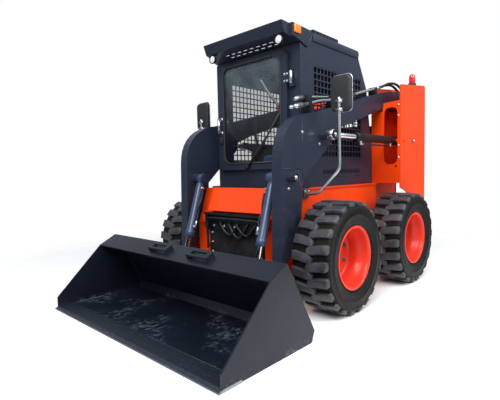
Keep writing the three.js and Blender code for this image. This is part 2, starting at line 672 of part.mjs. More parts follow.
// A polyline of plate, thickened to the left of its direction.
function bentPlate(points, thickness) {
  const inner = points.map((point, i) => {
    const before = i > 0 ? beyond(points[i - 1], point, 1) : null;
    const after = i < points.length - 1 ? beyond(point, points[i + 1], 1) : null;
    const a = before ?? after;
    const b = after ?? before;
    const scale = thickness / (1 + a[0] * b[0] + a[1] * b[1]);
    return [point[0] + (a[0] + b[0]) * scale, point[1] + (a[1] + b[1]) * scale];
  });
  return [...points, ...inner.reverse()];
}
const cuttingDepth = 150;
const bucketHalf = bucketWidth / 2;
const sideOuter = bucketHalf - 6;
const bucketBack = [lipFront, backTop, heelHigh, heelLow, [bladeTip[0] + 30, 0]];
const bucketSideOutline = [heelLow, heelHigh, backTop, lipFront, [bladeTip[0] + 22, 86],
  [bladeTip[0] + 22, 16 + gap], [bladeTip[0] + cuttingDepth, 16 + gap], [bladeTip[0] + cuttingDepth, 0]];
let bucket = sidePlate(bentPlate([...bucketBack].reverse(), bucketSheet), -sideOuter, sideOuter);
for (const [, side] of sides) {
  bucket = bucket.add(sidePlate(bucketSideOutline, side * (sideOuter - bucketSheet), side * sideOuter));
}
bucket = bucket.subtract(block(-1000, 1000, bladeTip[0] - 60, bladeTip[0] + cuttingDepth, -20, 16 + gap));

// two step loops stand on the lip
const lipLean = Math.atan2(backTop[1] - lipFront[1], backTop[0] - lipFront[0]);
function onLip(along, away) {
  return [
    lipFront[0] + Math.cos(lipLean) * along - Math.sin(lipLean) * away,
    lipFront[1] + Math.sin(lipLean) * along + Math.cos(lipLean) * away,
  ];
}
const loopReach = 32;
const loopWidth = 210;
const loopStrap = 12;
for (const x of [-150, 280]) {
  const strip = (from, to, low, high) => sidePlate(
    [onLip(from, low), onLip(to, low), onLip(to, high), onLip(from, high)], x - loopWidth / 2, x + loopWidth / 2,
  );
  const slot = sidePlate([onLip(64, -4), onLip(94, -4), onLip(94, 60), onLip(64, 60)],
    x - loopWidth / 2 + 34, x + loopWidth / 2 - 34);
  const hollow = sidePlate([onLip(30, 1), onLip(140, 1), onLip(140, loopReach - loopStrap),
    onLip(30, loopReach - loopStrap)], x - loopWidth / 2 + loopStrap, x + loopWidth / 2 - loopStrap);
  bucket = join(bucket, strip(46, 112, -2, loopReach).subtract(hollow).subtract(slot));
}
add('bucket', bucket, navy);
add('cutting_edge', sidePlate([
  bladeTip, [bladeTip[0] + cuttingDepth - gap, 0], [bladeTip[0] + cuttingDepth - gap, 16], [bladeTip[0] + 30, 16],
], -bucketHalf, bucketHalf), iron);

// hitch plate leans on the bucket's back and carries the pin lugs
const backLean = Math.atan2(backTop[1] - heelHigh[1], backTop[0] - heelHigh[0]);
const backNormal = [Math.sin(backLean), -Math.cos(backLean)];
function offBack(along, away) {
  return [
    heelHigh[0] + Math.cos(backLean) * along + backNormal[0] * away,
    heelHigh[1] + Math.sin(backLean) * along + backNormal[1] * away,
  ];
}
const hitchHalf = 590;
const hitchPlate = sidePlate([offBack(12, gap), offBack(12, 16), offBack(440, 16), offBack(440, gap)],
  -hitchHalf, hitchHalf);
const hitchRails = [30, 420].map((along) => sidePlate(
  [offBack(along - 22, 10), offBack(along - 22, 46), offBack(along + 14, 46), offBack(along + 14, 10)],
  -hitchHalf, hitchHalf,
));
function lug(xa, xb, pins) {
  let body = sidePlate([offBack(20, 8), ...pins.map(([p]) => p), offBack(400, 8)], xa, xb);
  for (const [pin, radius] of pins) body = body.add(crossBar(pin, xa, xb, radius));
  return body;
}
function hitchLugs(side) {
  const eyeHalf = 30;
  const play = 5;
  const both = [[hitchPin, 50], [tiltEye, 42]];
  return join(
    lug(side * (tiltX - eyeHalf - play - 15), side * (tiltX - eyeHalf - play), both),
    lug(side * (tiltX + eyeHalf + play), side * (armInner - 6), both),
    lug(side * (armOuter + 6), side * (armOuter + 21), [[hitchPin, 50]]),
    crossBar(hitchPin, side * (tiltX + eyeHalf + play), side * (armOuter + 32), pinRadius, pinSides),
  );
}
add('quick_hitch', join(hitchPlate, ...hitchRails, hitchLugs(1), hitchLugs(-1)), charcoal);

// ---------------------------------------------------------------- mirrors
const mirrorX = uprightOuter + 24;
const mirrorBend = tubTopZ + 145;
function mirror(side) {
  const foot = tubTopZ - 47;
  const stemY = 20;
  const head = frontPlate(window4(side * mirrorX - 84, side * mirrorX + 84, 1425, 1692, 30), stemY + 6, stemY + 46, 3);
  return join(
    block(side * (caseOuter - 26), side * (caseOuter + 6), -76, -10, tubTopZ + gap, tubTopZ + 12),
    block(side * (caseOuter + gap), side * (caseOuter + 8), -76, -10, foot - 26, tubTopZ + 12),
    bar([side * (caseOuter + 4), -44, foot], [side * (trackInner - 12), -36, foot + 10], 12),
    bar([side * (trackInner - 18), -37, foot + 8], [side * mirrorX, stemY, mirrorBend], 11),
    bar([side * mirrorX, stemY, mirrorBend - 6], [side * mirrorX, stemY, 1530], 11),
    head,
  );
}
for (const [sideName, side] of sides) add(`mirror_${sideName}`, mirror(side), charcoal);

export default machine;
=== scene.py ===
"""Skid steer loader: finishes and fine shapes built around the packed frame.

Laid out as a Blender add-on. Metres, +Z up, the machine faces -Y and its left side is +X.
"""

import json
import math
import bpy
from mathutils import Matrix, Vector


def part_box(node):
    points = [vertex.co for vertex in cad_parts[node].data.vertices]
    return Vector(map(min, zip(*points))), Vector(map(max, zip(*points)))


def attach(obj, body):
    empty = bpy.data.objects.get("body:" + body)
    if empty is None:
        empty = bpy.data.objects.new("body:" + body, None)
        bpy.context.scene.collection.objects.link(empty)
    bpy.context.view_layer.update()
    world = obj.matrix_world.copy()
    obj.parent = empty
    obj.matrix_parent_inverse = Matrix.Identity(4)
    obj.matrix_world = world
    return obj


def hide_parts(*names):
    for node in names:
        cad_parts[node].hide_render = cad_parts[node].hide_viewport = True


bl_info = {
    "name": "Skid steer loader",
    "version": (1, 0, 0),
    "blender": (4, 5, 0),
    "location": "View3D > Sidebar > Loader",
    "description": "Builds the visible surfaces of a skid steer loader round its packed frame",
    "category": "Object",
}

import bmesh
import bpy
from bpy.props import FloatProperty, FloatVectorProperty, IntProperty, PointerProperty
from mathutils import Matrix, Vector

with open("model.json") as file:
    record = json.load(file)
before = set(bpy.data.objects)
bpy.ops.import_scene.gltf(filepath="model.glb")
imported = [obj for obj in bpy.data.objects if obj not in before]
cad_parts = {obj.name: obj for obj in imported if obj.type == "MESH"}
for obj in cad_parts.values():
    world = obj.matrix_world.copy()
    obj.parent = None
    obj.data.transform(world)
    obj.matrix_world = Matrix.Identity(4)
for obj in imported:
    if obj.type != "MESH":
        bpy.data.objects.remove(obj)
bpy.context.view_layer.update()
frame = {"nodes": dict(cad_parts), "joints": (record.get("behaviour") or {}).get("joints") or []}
CUTTING_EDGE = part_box("cutting_edge")[0][1]
JOINTS = {joint["name"]: joint for joint in frame["joints"]}
SIDES = (("left", 1), ("right", -1))
AXLES = ("front", "rear")


def linear(code):
    """A hex colour as linear red, green and blue."""
    parts = [int(code[i:i + 2], 16) / 255 for i in (0, 2, 4)]
    return tuple(c / 12.92 if c < 0.04045 else ((c + 0.055) / 1.055) ** 2.4 for c in parts)


# ------------------------------------------------------------------ user settings
def colour(name, code, description):
    return FloatVectorProperty(name=name, description=description, subtype="COLOR", size=3,
                               min=0, max=1, default=linear(code))


class LoaderPaint(bpy.types.PropertyGroup):
    """Colours of the enamels and trim."""
    orange: colour("Frame", "F04206", "Enamel of the frame and uprights")
    navy: colour("Cab and arms", "242A3A", "Enamel of the cab and arms")
    bucket: colour("Bucket", "151D2C", "Enamel of the bucket")
    black: colour("Hitch and covers", "121419", "Enamel of the hitch, hood and steps")
    tube_blue: colour("Tilt tubes", "2C3E5C", "Enamel of the tilt cylinder tubes")
    rim: colour("Rims", "D8321C", "Enamel of the wheel rims")
    seat: colour("Seat", "2F62B5", "Seat cloth")
    dust: FloatProperty(name="Dust", description="How much dust lies on low and upward faces",
                        default=0.16, min=0, max=1, subtype="FACTOR")


class LoaderWheels(bpy.types.PropertyGroup):
    """Tread and rim detail."""
    lugs: IntProperty(name="Lugs", description="Tread lugs in each of the two rows", default=22, min=8)
    lug_width: FloatProperty(name="Lug width", description="Width of a lug at its crown",
                             default=0.060, unit="LENGTH")
    bolts: IntProperty(name="Wheel nuts", description="Nuts that hold one wheel", default=8, min=3)


class LoaderGuards(bpy.types.PropertyGroup):
    """Mesh over the side and rear windows."""
    pitch: FloatProperty(name="Pitch", description="Distance from one mesh opening to the next",
                         default=0.050, unit="LENGTH")
    bar: FloatProperty(name="Bar", description="Width of a bar between openings",
                       default=0.010, unit="LENGTH")


class LoaderStage(bpy.types.PropertyGroup):
    """Lamps and surrounding light."""
    key: FloatProperty(name="Key lamp", description="Power of the large soft lamp", default=170, min=0,
                       unit="POWER")
    fill: FloatProperty(name="Fill", description="Strength of the surrounding light", default=0.55, min=0)


# ------------------------------------------------------------------ materials
class Finish:
    """A node material under construction, with short calls for the nodes it needs."""

    def __init__(self, name):
        self.material = bpy.data.materials.new(name)
        self.material.use_nodes = True
        self.tree = self.material.node_tree
        self.shader = self.tree.nodes["Principled BSDF"]
        self.coords = self.tree.nodes.new("ShaderNodeTexCoord").outputs["Object"]

    def node(self, kind, inputs=(), **settings):
        node = self.tree.nodes.new(kind)
        for key, value in settings.items():
            setattr(node, key, value)
        for key, value in dict(inputs).items():
            self.feed(node.inputs[key], value)
        return node

    def feed(self, socket, value):
        if isinstance(value, bpy.types.NodeSocket):
            self.tree.links.new(value, socket)
        elif hasattr(socket.default_value, "__len__") and len(socket.default_value) == 4:
            socket.default_value = (*value, 1) if len(value) == 3 else value
        else:
            socket.default_value = value

    def noise(self, scale, detail=3.0, rough=0.5, stretch=None, distortion=0.0):
        place = self.coords
        if stretch:
            place = self.node("ShaderNodeMapping", {"Vector": place, "Scale": stretch}).outputs[0]
        return self.node("ShaderNodeTexNoise", {
            "Vector": place, "Scale": scale, "Detail": detail, "Roughness": rough,
            "Distortion": distortion,
        }).outputs["Fac"]

    def steps(self, value, low, high, out_low=0.0, out_high=1.0):
        return self.node("ShaderNodeMapRange", {
            "Value": value, "From Min": low, "From Max": high, "To Min": out_low, "To Max": out_high,
        }).outputs["Result"]

    def math(self, operation, a, b=0.5):
        return self.node("ShaderNodeMath", {0: a, 1: b}, operation=operation).outputs[0]

    def mix(self, factor, a, b):
        node = self.node("ShaderNodeMix", data_type="RGBA")
        self.feed(node.inputs[0], factor)
        self.feed(node.inputs[6], a)
        self.feed(node.inputs[7], b)
        return node.outputs[2]

    def bump(self, height, strength, distance):
        normal = self.node("ShaderNodeBump", {"Height": height, "Strength": strength, "Distance": distance})
        self.feed(self.shader.inputs["Normal"], normal.outputs[0])

    def set(self, **inputs):
        names = {"color": "Base Color", "rough": "Roughness", "metal": "Metallic", "coat": "Coat Weight",
                 "coat_rough": "Coat Roughness", "glow": "Emission Strength",
                 "alpha": "Alpha", "sheen": "Sheen Weight", "shine": "Specular IOR Level"}
        for key, value in inputs.items():
            self.feed(self.shader.inputs[names[key]], value)
        return self


def shade(tone, factor):
    """A tone made darker or lighter, and never past white."""
    return tuple(min(1.0, c * factor) for c in tone)


def enamel(name, tone, rough, coat, dust):
    """Sprayed enamel: slight tone drift, orange peel, dust low down and on upward faces."""
    f = Finish(name)
    drift = f.steps(f.noise(2.2, 4), 0.3, 0.7)
    base = f.mix(drift, shade(tone, 0.86), shade(tone, 1.12))
    height = f.node("ShaderNodeSeparateXYZ", {0: f.coords}).outputs["Z"]
    normal = f.node("ShaderNodeNewGeometry").outputs["Normal"]
    upward = f.node("ShaderNodeSeparateXYZ", {0: normal}).outputs["Z"]
    low = f.steps(height, 0.9, 0.1)
    lying = f.math("MAXIMUM", f.math("MULTIPLY", f.steps(upward, 0.5, 1.0), 0.6), low)
    patches = f.steps(f.noise(9, 6, 0.65), 0.42, 0.72)
    dusty = f.math("MULTIPLY", f.math("MULTIPLY", lying, patches), dust)
    base = f.mix(dusty, base, linear("8A8178"))
    streaks = f.steps(f.noise(26, 5, 0.7, stretch=(0.4, 1.0, 5.0)), 0.60, 0.78)
    worn = f.math("MULTIPLY", streaks, 0.10)
    base = f.mix(worn, base, linear("8E9096"))
    gloss = f.steps(f.noise(14, 5, 0.6), 0.3, 0.75, rough - 0.06, rough + 0.16)
    f.set(color=base, rough=f.math("ADD", gloss, f.math("MULTIPLY", dusty, 0.3)), coat=coat, coat_rough=0.12,
          shine=0.25)
    f.bump(f.noise(420, 2), 0.10, 0.0006)
    return f.material


def tyre_rubber(name, tone, bloom_tone, shine):
    """Rubber with a pale bloom and fine mould texture; given lighter tones, as on the lugs, it also paints a
    sheen.
    """
    f = Finish(name)
    bloom = f.steps(f.noise(16, 6, 0.68), 0.38, 0.72)
    base = f.mix(bloom, tone, bloom_tone)
    dust = f.math("MULTIPLY", f.steps(f.noise(60, 5, 0.7), 0.5, 0.8), 0.25)
    base = f.mix(dust, base, linear("544C46"))
    f.set(color=base, rough=f.steps(bloom, 0, 1, 0.42, 0.62), shine=shine)
    f.bump(f.noise(260, 4, 0.7), 0.3, 0.001)
    return f.material


def bright_metal(name, tone, rough, brushed=(1, 1, 1), grain=300.0):
    """Bare or plated metal with fine grain and soft smudges."""
    f = Finish(name)
    smudge = f.noise(20, 4, 0.6)
    f.set(color=f.mix(f.steps(smudge, 0.35, 0.7), tone, shade(tone, 0.84)), metal=1.0,
          rough=f.steps(f.noise(grain, 3, 0.6, stretch=brushed), 0.3, 0.7, rough * 0.75, rough * 1.35))
    f.bump(f.noise(grain, 2, 0.5, stretch=brushed), 0.06, 0.0004)
    return f.material


def worn_blade(tone):
    """Dark enamel on the wear plate, bare and bright along its edge and ends."""
    f = Finish("worn_steel")
    places = f.node("ShaderNodeSeparateXYZ", {0: f.coords})
    tip = f.steps(places.outputs["Y"], CUTTING_EDGE + 0.001, CUTTING_EDGE + 0.010, 0.55, 0)
    ends = f.steps(f.math("ABSOLUTE", places.outputs["X"]), 0.920, 0.930)
    scratch = f.steps(f.noise(60, 6, 0.75, stretch=(0.5, 1.4, 1)), 0.56, 0.74)
    bare = f.math("MAXIMUM", f.math("MAXIMUM", tip, ends), f.math("MULTIPLY", scratch, 0.3))
    base = f.mix(bare, shade(tone, 0.7), linear("8E949C"))
    f.set(color=base, metal=f.math("MULTIPLY", bare, 0.8), rough=0.42)
    f.bump(scratch, 0.1, 0.0005)
    return f.material


def bucket_enamel(tone):
    """Dark enamel rubbed to pale metal where the load slides over the floor."""
    f = Finish("bucket_paint")
    drift = f.steps(f.noise(3, 5), 0.3, 0.7)
    base = f.mix(drift, shade(tone, 0.40), shade(tone, 0.75))
    height = f.node("ShaderNodeSeparateXYZ", {0: f.coords}).outputs["Z"]
    floor = f.steps(height, 0.05, 0.012)
    patches = f.steps(f.noise(2.6, 3, 0.5), 0.48, 0.62)
    rubs = f.steps(f.noise(34, 8, 0.78, stretch=(1, 0.6, 1), distortion=0.4), 0.50, 0.66)
    rubbed = f.math("MULTIPLY", rubs, patches)
    marks = f.math("MULTIPLY", f.math("MULTIPLY", rubbed, floor), 0.42)
    base = f.mix(marks, base, linear("9AA6B8"))
    scuffs = f.math("MULTIPLY", f.steps(f.noise(36, 7, 0.75, stretch=(0.5, 2, 1)), 0.60, 0.78), 0.16)
    base = f.mix(scuffs, base, linear("6E7686"))
    f.set(color=base, rough=f.steps(rubbed, 0, 1, 0.42, 0.32), coat=0.12, coat_rough=0.2, shine=0.25)
    f.bump(f.noise(120, 5, 0.7), 0.16, 0.001)
    return f.material


def window_glass():
    """Clear, slightly smoked pane with a faint film on it, and a painted pale reflection over its upper part.
    """
    f = Finish("door_glass")
    film = f.steps(f.noise(5, 5, 0.6), 0.35, 0.75, 0.02, 0.07)
    height = f.node("ShaderNodeSeparateXYZ", {0: f.coords}).outputs["Z"]
    # Painted reflection: the pane turns paler and less clear towards its top, in blotches.
    painted_reflection = f.math("MULTIPLY", f.steps(height, 1.25, 1.85), f.steps(f.noise(3, 4, 0.6), 0.3, 0.8))
    f.set(color=f.mix(painted_reflection, linear("10151A"), linear("7D8A96")), rough=film, coat=1.0, coat_rough=0.02,
          alpha=f.steps(painted_reflection, 0, 1, 0.28, 0.55))
    return f.material


def lens(name, tone, glow=0.0):
    """Moulded lens with fine flutes."""
    f = Finish(name)
    flutes = f.node("ShaderNodeTexWave", {"Vector": f.coords, "Scale": 55.0, "Distortion": 0.0})
    grain = f.noise(40, 2)
    base = f.mix(f.steps(grain, 0.3, 0.7), shade(tone, 0.82), shade(tone, 1.1))
    f.set(color=base, rough=0.12, coat=1.0, coat_rough=0.05, glow=glow)
    f.feed(f.shader.inputs["Emission Color"], tone)
    f.bump(flutes.outputs["Fac"], 0.25, 0.0012)
    return f.material


def seat_cloth(tone):
    """Woven cloth with visible warp and weft."""
    f = Finish("seat_cloth")
    yarn = {"Vector": f.coords, "Scale": 210.0, "Distortion": 0.6}
    warp, weft = (f.node("ShaderNodeTexWave", yarn, bands_direction=way).outputs["Fac"] for way in "XY")
    weave = f.math("MULTIPLY", warp, weft)
    base = f.mix(weave, shade(tone, 0.55), shade(tone, 1.25))
    base = f.mix(f.math("MULTIPLY", f.noise(7, 5), 0.25), base, linear("6D7F96"))
    f.set(color=base, rough=0.85, sheen=0.3)
    f.bump(weave, 0.4, 0.0012)
    return f.material


def moulded(name, tone, rough=0.6):
    """Grained plastic or rubber trim."""
    f = Finish(name)
    base = f.mix(f.steps(f.noise(8, 4), 0.3, 0.7), shade(tone, 0.8), shade(tone, 1.2))
    f.set(color=base, rough=f.steps(f.noise(50, 4), 0.3, 0.7, rough - 0.08, rough + 0.1))
    f.bump(f.noise(520, 3, 0.6), 0.25, 0.0006)
    return f.material


PALETTE = {}


def build_palette(paint):
    """Makes every finish once, from the user's colours."""
    PALETTE.update({
        "orange": enamel("orange_paint", tuple(paint.orange), 0.34, 0.10, paint.dust),
        "navy": enamel("navy_paint", tuple(paint.navy), 0.36, 0.22, paint.dust),
        "black": enamel("black_paint", tuple(paint.black), 0.42, 0.12, paint.dust),
        "tube_blue": enamel("blue_grey_paint", tuple(paint.tube_blue), 0.30, 0.4, paint.dust * 0.5),
        "rim": enamel("rim_paint", tuple(paint.rim), 0.34, 0.12, paint.dust * 0.5),
        "bucket": bucket_enamel(tuple(paint.bucket)),
        "rubber": tyre_rubber("tyre_rubber", linear("0D0C0B"), linear("1C1816"), 0.12),
        # Same rubber as the casing in lighter, bluish tones: painted sheen of the sky on the lug tops.
        "tread": tyre_rubber("lug_rubber_painted_sheen", linear("2A2A2C"), linear("43424A"), 0.5),
        "chrome": bright_metal("chromed_rod", linear("E4E6E8"), 0.12, (1, 1, 6)),
        "zinc": bright_metal("zinc_pipe", linear("C9CDD1"), 0.32),
        "blade": worn_blade(tuple(paint.bucket)),
        "iron": enamel("engine_iron", linear("4C4A47"), 0.6, 0.0, 0.6),
        "glass": window_glass(),
        "clear_lens": lens("lamp_lens", linear("E9EDEF")),
        "red_lens": lens("red_lens", linear("D4141E"), 0.15),
        "amber_lens": lens("amber_lens", linear("FF7A10"), 0.25),
        "cloth": seat_cloth(tuple(paint.seat)),
        "plastic": moulded("cab_plastic", linear("1E1F22")),
        "hose": moulded("hose_rubber", linear("151515"), 0.5),
        # Glowing pale plates that are no lamp: painted daylight in the visor slots.
        "painted_daylight": lens("painted_daylight", linear("F4F6F8"), 0.7),
        "mirror": bright_metal("mirror_face", linear("D7DEE3"), 0.04),
    })


# ------------------------------------------------------------------ mesh helpers
def prism(bm, outline, low, high, axis="x"):
    """An outline in the two other axes, in cyclic order, made as thick as low to high along axis."""
    place = {
        "x": lambda a, b, t: (t, a, b),
        "y": lambda a, b, t: (b, t, a),
        "z": lambda a, b, t: (a, b, t),
    }[axis]
    ends = [[bm.verts.new(place(a, b, t)) for a, b in outline] for t in (low, high)]
    bm.faces.new(reversed(ends[0]))
    bm.faces.new(ends[1])
    count = len(outline)
    for i in range(count):
        j = (i + 1) % count
        bm.faces.new((ends[0][i], ends[0][j], ends[1][j], ends[1][i]))


def brick(bm, low, high):
    """A block between two corners."""
    (x0, y0, z0), (x1, y1, z1) = low, high
    prism(bm, [(x0, y0), (x1, y0), (x1, y1), (x0, y1)], z0, z1, "z")


def axes_for(direction):
    """A unit direction and two more that stand square to it."""
    along = Vector(direction).normalized()
    side = along.orthogonal().normalized()
    return along, side, along.cross(side)


def lathe(bm, profile, centre, direction, segments=48):
    """Turns (radius, offset) points about a line; ends on the axis or closed profiles are sealed."""
    along, u, v = axes_for(direction)
    centre = Vector(centre)
    rings = []
    for radius, offset in profile:
        middle = centre + along * offset
        if radius < 1e-6:
            rings.append([bm.verts.new(middle)] * segments)
        else:
            rings.append([bm.verts.new(middle + (u * math.cos(a) + v * math.sin(a)) * radius)
                          for a in (2 * math.pi * k / segments for k in range(segments))])
    for one, two in zip(rings, rings[1:]):
        for k in range(segments):
            loop = [one[k], one[(k + 1) % segments], two[(k + 1) % segments], two[k]]
            corners = list(dict.fromkeys(loop))
            if len(corners) > 2:
                bm.faces.new(corners)


def drum(bm, start, end, radius, segments=32, edge=0.002):
    """A short cylinder with softened rims."""
    start, end = Vector(start), Vector(end)
    length = (end - start).length
    lathe(bm, [(0, 0), (radius - edge, 0), (radius, edge), (radius, length - edge),
               (radius - edge, length), (0, length)], start, end - start, segments)


def smooth_path(points, per_span=8):
    """Centripetal curve through the points."""
    pts = [Vector(p) for p in points]
    pts = [pts[0] * 2 - pts[1], *pts, pts[-1] * 2 - pts[-2]]
    out = []
    for i in range(1, len(pts) - 2):
        a, b, c, d = pts[i - 1:i + 3]
        for k in range(per_span):
            t = k / per_span
            out.append(0.5 * ((2 * b) + (c - a) * t + (2 * a - 5 * b + 4 * c - d) * t * t
                              + (3 * b - a - 3 * c + d) * t ** 3))
    return out + [pts[-2]]


def pipe(bm, path, radius, segments=16):
    """A round pipe along a list of points, with closed ends."""
    path = [Vector(p) for p in path]
    along, u, _ = axes_for(path[1] - path[0])
    rings = []
    for i, point in enumerate(path):
        ahead = path[min(i + 1, len(path) - 1)] - path[max(i - 1, 0)]
        ahead.normalize()
        u = (u - ahead * u.dot(ahead)).normalized()
        v = ahead.cross(u)
        rings.append([bm.verts.new(point + (u * math.cos(a) + v * math.sin(a)) * radius)
                      for a in (2 * math.pi * k / segments for k in range(segments))])
    for one, two in zip(rings, rings[1:]):
        for k in range(segments):
            bm.faces.new((one[k], one[(k + 1) % segments], two[(k + 1) % segments], two[k]))
    bm.faces.new(reversed(rings[0]))
    bm.faces.new(rings[-1])


def rounded_outline(low, high, radius, per_corner=6):
    """Corner-rounded rectangle as points."""
    (a0, b0), (a1, b1) = low, high
    out = []
    for a, b, start in ((a1 - radius, b0 + radius, -0.5), (a1 - radius, b1 - radius, 0.0),
                        (a0 + radius, b1 - radius, 0.5), (a0 + radius, b0 + radius, 1.0)):
        for k in range(per_corner + 1):
            angle = math.pi * (start + 0.5 * k / per_corner)
            out.append((a + radius * math.cos(angle), b + radius * math.sin(angle)))
    return out


def piece(name, bm, finish, body, hides=(), bevel=0.0, smooth=35.0, segments=2):
    """Turns a bmesh into a finished piece that rides on a body."""
    bmesh.ops.recalc_face_normals(bm, faces=bm.faces)
    mesh = bpy.data.meshes.new(name)
    bm.to_mesh(mesh)
    bm.free()
    obj = bpy.data.objects.new(name, mesh)
    bpy.context.scene.collection.objects.link(obj)
    mesh.materials.append(PALETTE[finish])
    soften(obj, bevel, smooth, segments)
    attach(obj, body)
    if hides:
        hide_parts(*hides)
    return obj


def soften(obj, bevel, smooth, segments=2):
    """Rounded edges and smooth shading that stops at sharp angles."""
    if bevel:
        cut = obj.modifiers.new("bevel", "BEVEL")
        cut.width = bevel
        cut.segments = segments
        cut.limit_method = "ANGLE"
        cut.angle_limit = math.radians(smooth)
        cut.harden_normals = False
    obj.data.polygons.foreach_set("use_smooth", [True] * len(obj.data.polygons))
    with bpy.context.temp_override(object=obj, active_object=obj, selected_objects=[obj],
                                   selected_editable_objects=[obj]):
        bpy.ops.object.shade_auto_smooth(angle=math.radians(smooth))


# ------------------------------------------------------------------ carried-over nodes
CARRIED = {
    "orange": ("main_frame", "upright_left", "upright_right", "front_panel"),
    "navy": ("cab_side_left", "cab_side_right", "cab_front_frame", "cab_visor", "cab_roof", "cab_rear",
             "cab_door", "lift_arm_left", "lift_arm_right", "arm_crossbeam"),
    "bucket": ("bucket",),
    "black": ("front_step", "engine_hood", "rear_door", "rear_bumper", "roof_vent", "quick_hitch"),
    "blade": ("cutting_edge",),
    "iron": ("engine_block",),
    "plastic": ("cab_floor", "control_lever_left", "control_lever_right"),
    "glass": ("door_glass",),
}
EDGE_WIDTH = {"main_frame": 0.003, "front_panel": 0.002, "bucket": 0.002, "cutting_edge": 0.0015,
              "lift_arm_left": 0.004, "lift_arm_right": 0.004, "door_glass": 0.0}


class LOADER_OT_carried(bpy.types.Operator):
    """Give the frame's own plates their enamel, softened edges and smooth shading"""
    bl_idname = "loader.carried"
    bl_label = "Frame plates"

    def execute(self, context):
        for finish, names in CARRIED.items():
            for name in names:
                node = frame["nodes"][name]
                node.data.materials.clear()
                node.data.materials.append(PALETTE[finish])
                flat = node.modifiers.new("flatten", "DECIMATE")
                flat.decimate_type = "DISSOLVE"
                flat.angle_limit = math.radians(0.5)
                soften(node, EDGE_WIDTH.get(name, 0.002), 32.0)
        return {"FINISHED"}


# ------------------------------------------------------------------ wheels
LUG_STATIONS = (
    # base offset, base radius, crown offset, crown radius, drift round the tyre, width share
    (0.1380, 0.366, 0.1425, 0.370, -0.004, 0.62),
    (0.1360, 0.368, 0.1410, 0.386, -0.003, 0.86),
    (0.1260, 0.372, 0.1320, 0.3970, -0.001, 1.06),
    (0.1000, 0.373, 0.1030, 0.3990, 0.001, 1.05),
    (0.0620, 0.374, 0.0630, 0.4000, 0.005, 0.98),
    (0.0200, 0.374, 0.0210, 0.4000, 0.014, 0.96),
    (-0.0120, 0.374, -0.0095, 0.4000, 0.022, 0.88),
    (-0.0220, 0.374, -0.0175, 0.4000, 0.025, 0.66),
    (-0.0270, 0.374, -0.0215, 0.3995, 0.026, 0.34),
)
CARCASS = (
    # (radius, distance from the tyre's middle plane) of one half
    # bead on the rim
    (0.2095, 0.112), (0.2095, 0.1235), (0.2315, 0.1240), (0.2360, 0.1275), (0.2440, 0.1325),
    # side wall with its two ribs
    (0.2470, 0.1362), (0.2510, 0.1362), (0.2550, 0.1372), (0.2780, 0.1432), (0.3000, 0.1460),
    (0.3020, 0.1472), (0.3050, 0.1472), (0.3070, 0.1463), (0.3400, 0.1462), (0.3520, 0.1452),
    (0.3540, 0.1464), (0.3580, 0.1464), (0.3600, 0.1444),
    # shoulder and crown
    (0.3680, 0.1405), (0.3735, 0.1320), (0.3750, 0.1100), (0.3755, 0.0500), (0.3755, 0.0),
)


def add_lug(bm, turn, row, centre, lug_width):
    """One tread lug. row is +1 for the outer row and -1 for the inner one."""
    stations = []
    for base_x, base_r, top_x, top_r, drift, share in LUG_STATIONS:
        half = lug_width / 2 * share
        ring = []
        for offset, radius, across in ((base_x, base_r, -half - 0.005), (top_x, top_r, -half),
                                       (top_x, top_r, half), (base_x, base_r, half + 0.005)):
            angle = turn + (drift + across) / 0.4
            ring.append(bm.verts.new((centre[0] + row * offset, centre[1] + radius * math.cos(angle),
                                      centre[2] + radius * math.sin(angle))))
        stations.append(ring)
    for one, two in zip(stations, stations[1:]):
        for k in range(3):
            bm.faces.new((one[k], one[k + 1], two[k + 1], two[k]))
        bm.faces.new((one[3], one[0], two[0], two[3]))
    bm.faces.new(stations[0])
    bm.faces.new(stations[-1])


def wheel_centre(axle, side_name):
    """Middle of a wheel, from the box of its tyre."""
    low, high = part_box(f"tyre_{axle}_{side_name}")
    return [(a + b) / 2 for a, b in zip(low, high)]


class LOADER_OT_tyres(bpy.types.Operator):
    """Moulded tyres: ribbed side walls and two staggered rows of bent lugs"""
    bl_idname = "loader.tyres"
    bl_label = "Tyres"

    def execute(self, context):
        wheels = context.scene.loader_wheels
        for side_name, _ in SIDES:
            for axle in AXLES:
                centre = wheel_centre(axle, side_name)
                bm = bmesh.new()
                mirrored = [(r, -x) for r, x in reversed(CARCASS[:-1])]
                lathe(bm, [*CARCASS, *mirrored, CARCASS[0]], centre, (1, 0, 0), 120)
                body = f"wheel_{axle}_{side_name}"
                piece(f"tyre_casing_{axle}_{side_name}", bm, "rubber", body,
                      hides=[f"tyre_{axle}_{side_name}"], smooth=50)
                bm = bmesh.new()
                step = 2 * math.pi / wheels.lugs
                for i in range(wheels.lugs):
                    add_lug(bm, step * i, 1, centre, wheels.lug_width)
                    add_lug(bm, step * (i + 0.5), -1, centre, wheels.lug_width)
                # The lugs take the lighter rubber, which paints the sheen on them.
                piece(f"tyre_lugs_{axle}_{side_name}", bm, "tread", body,
                      bevel=0.0035, smooth=28)
        return {"FINISHED"}


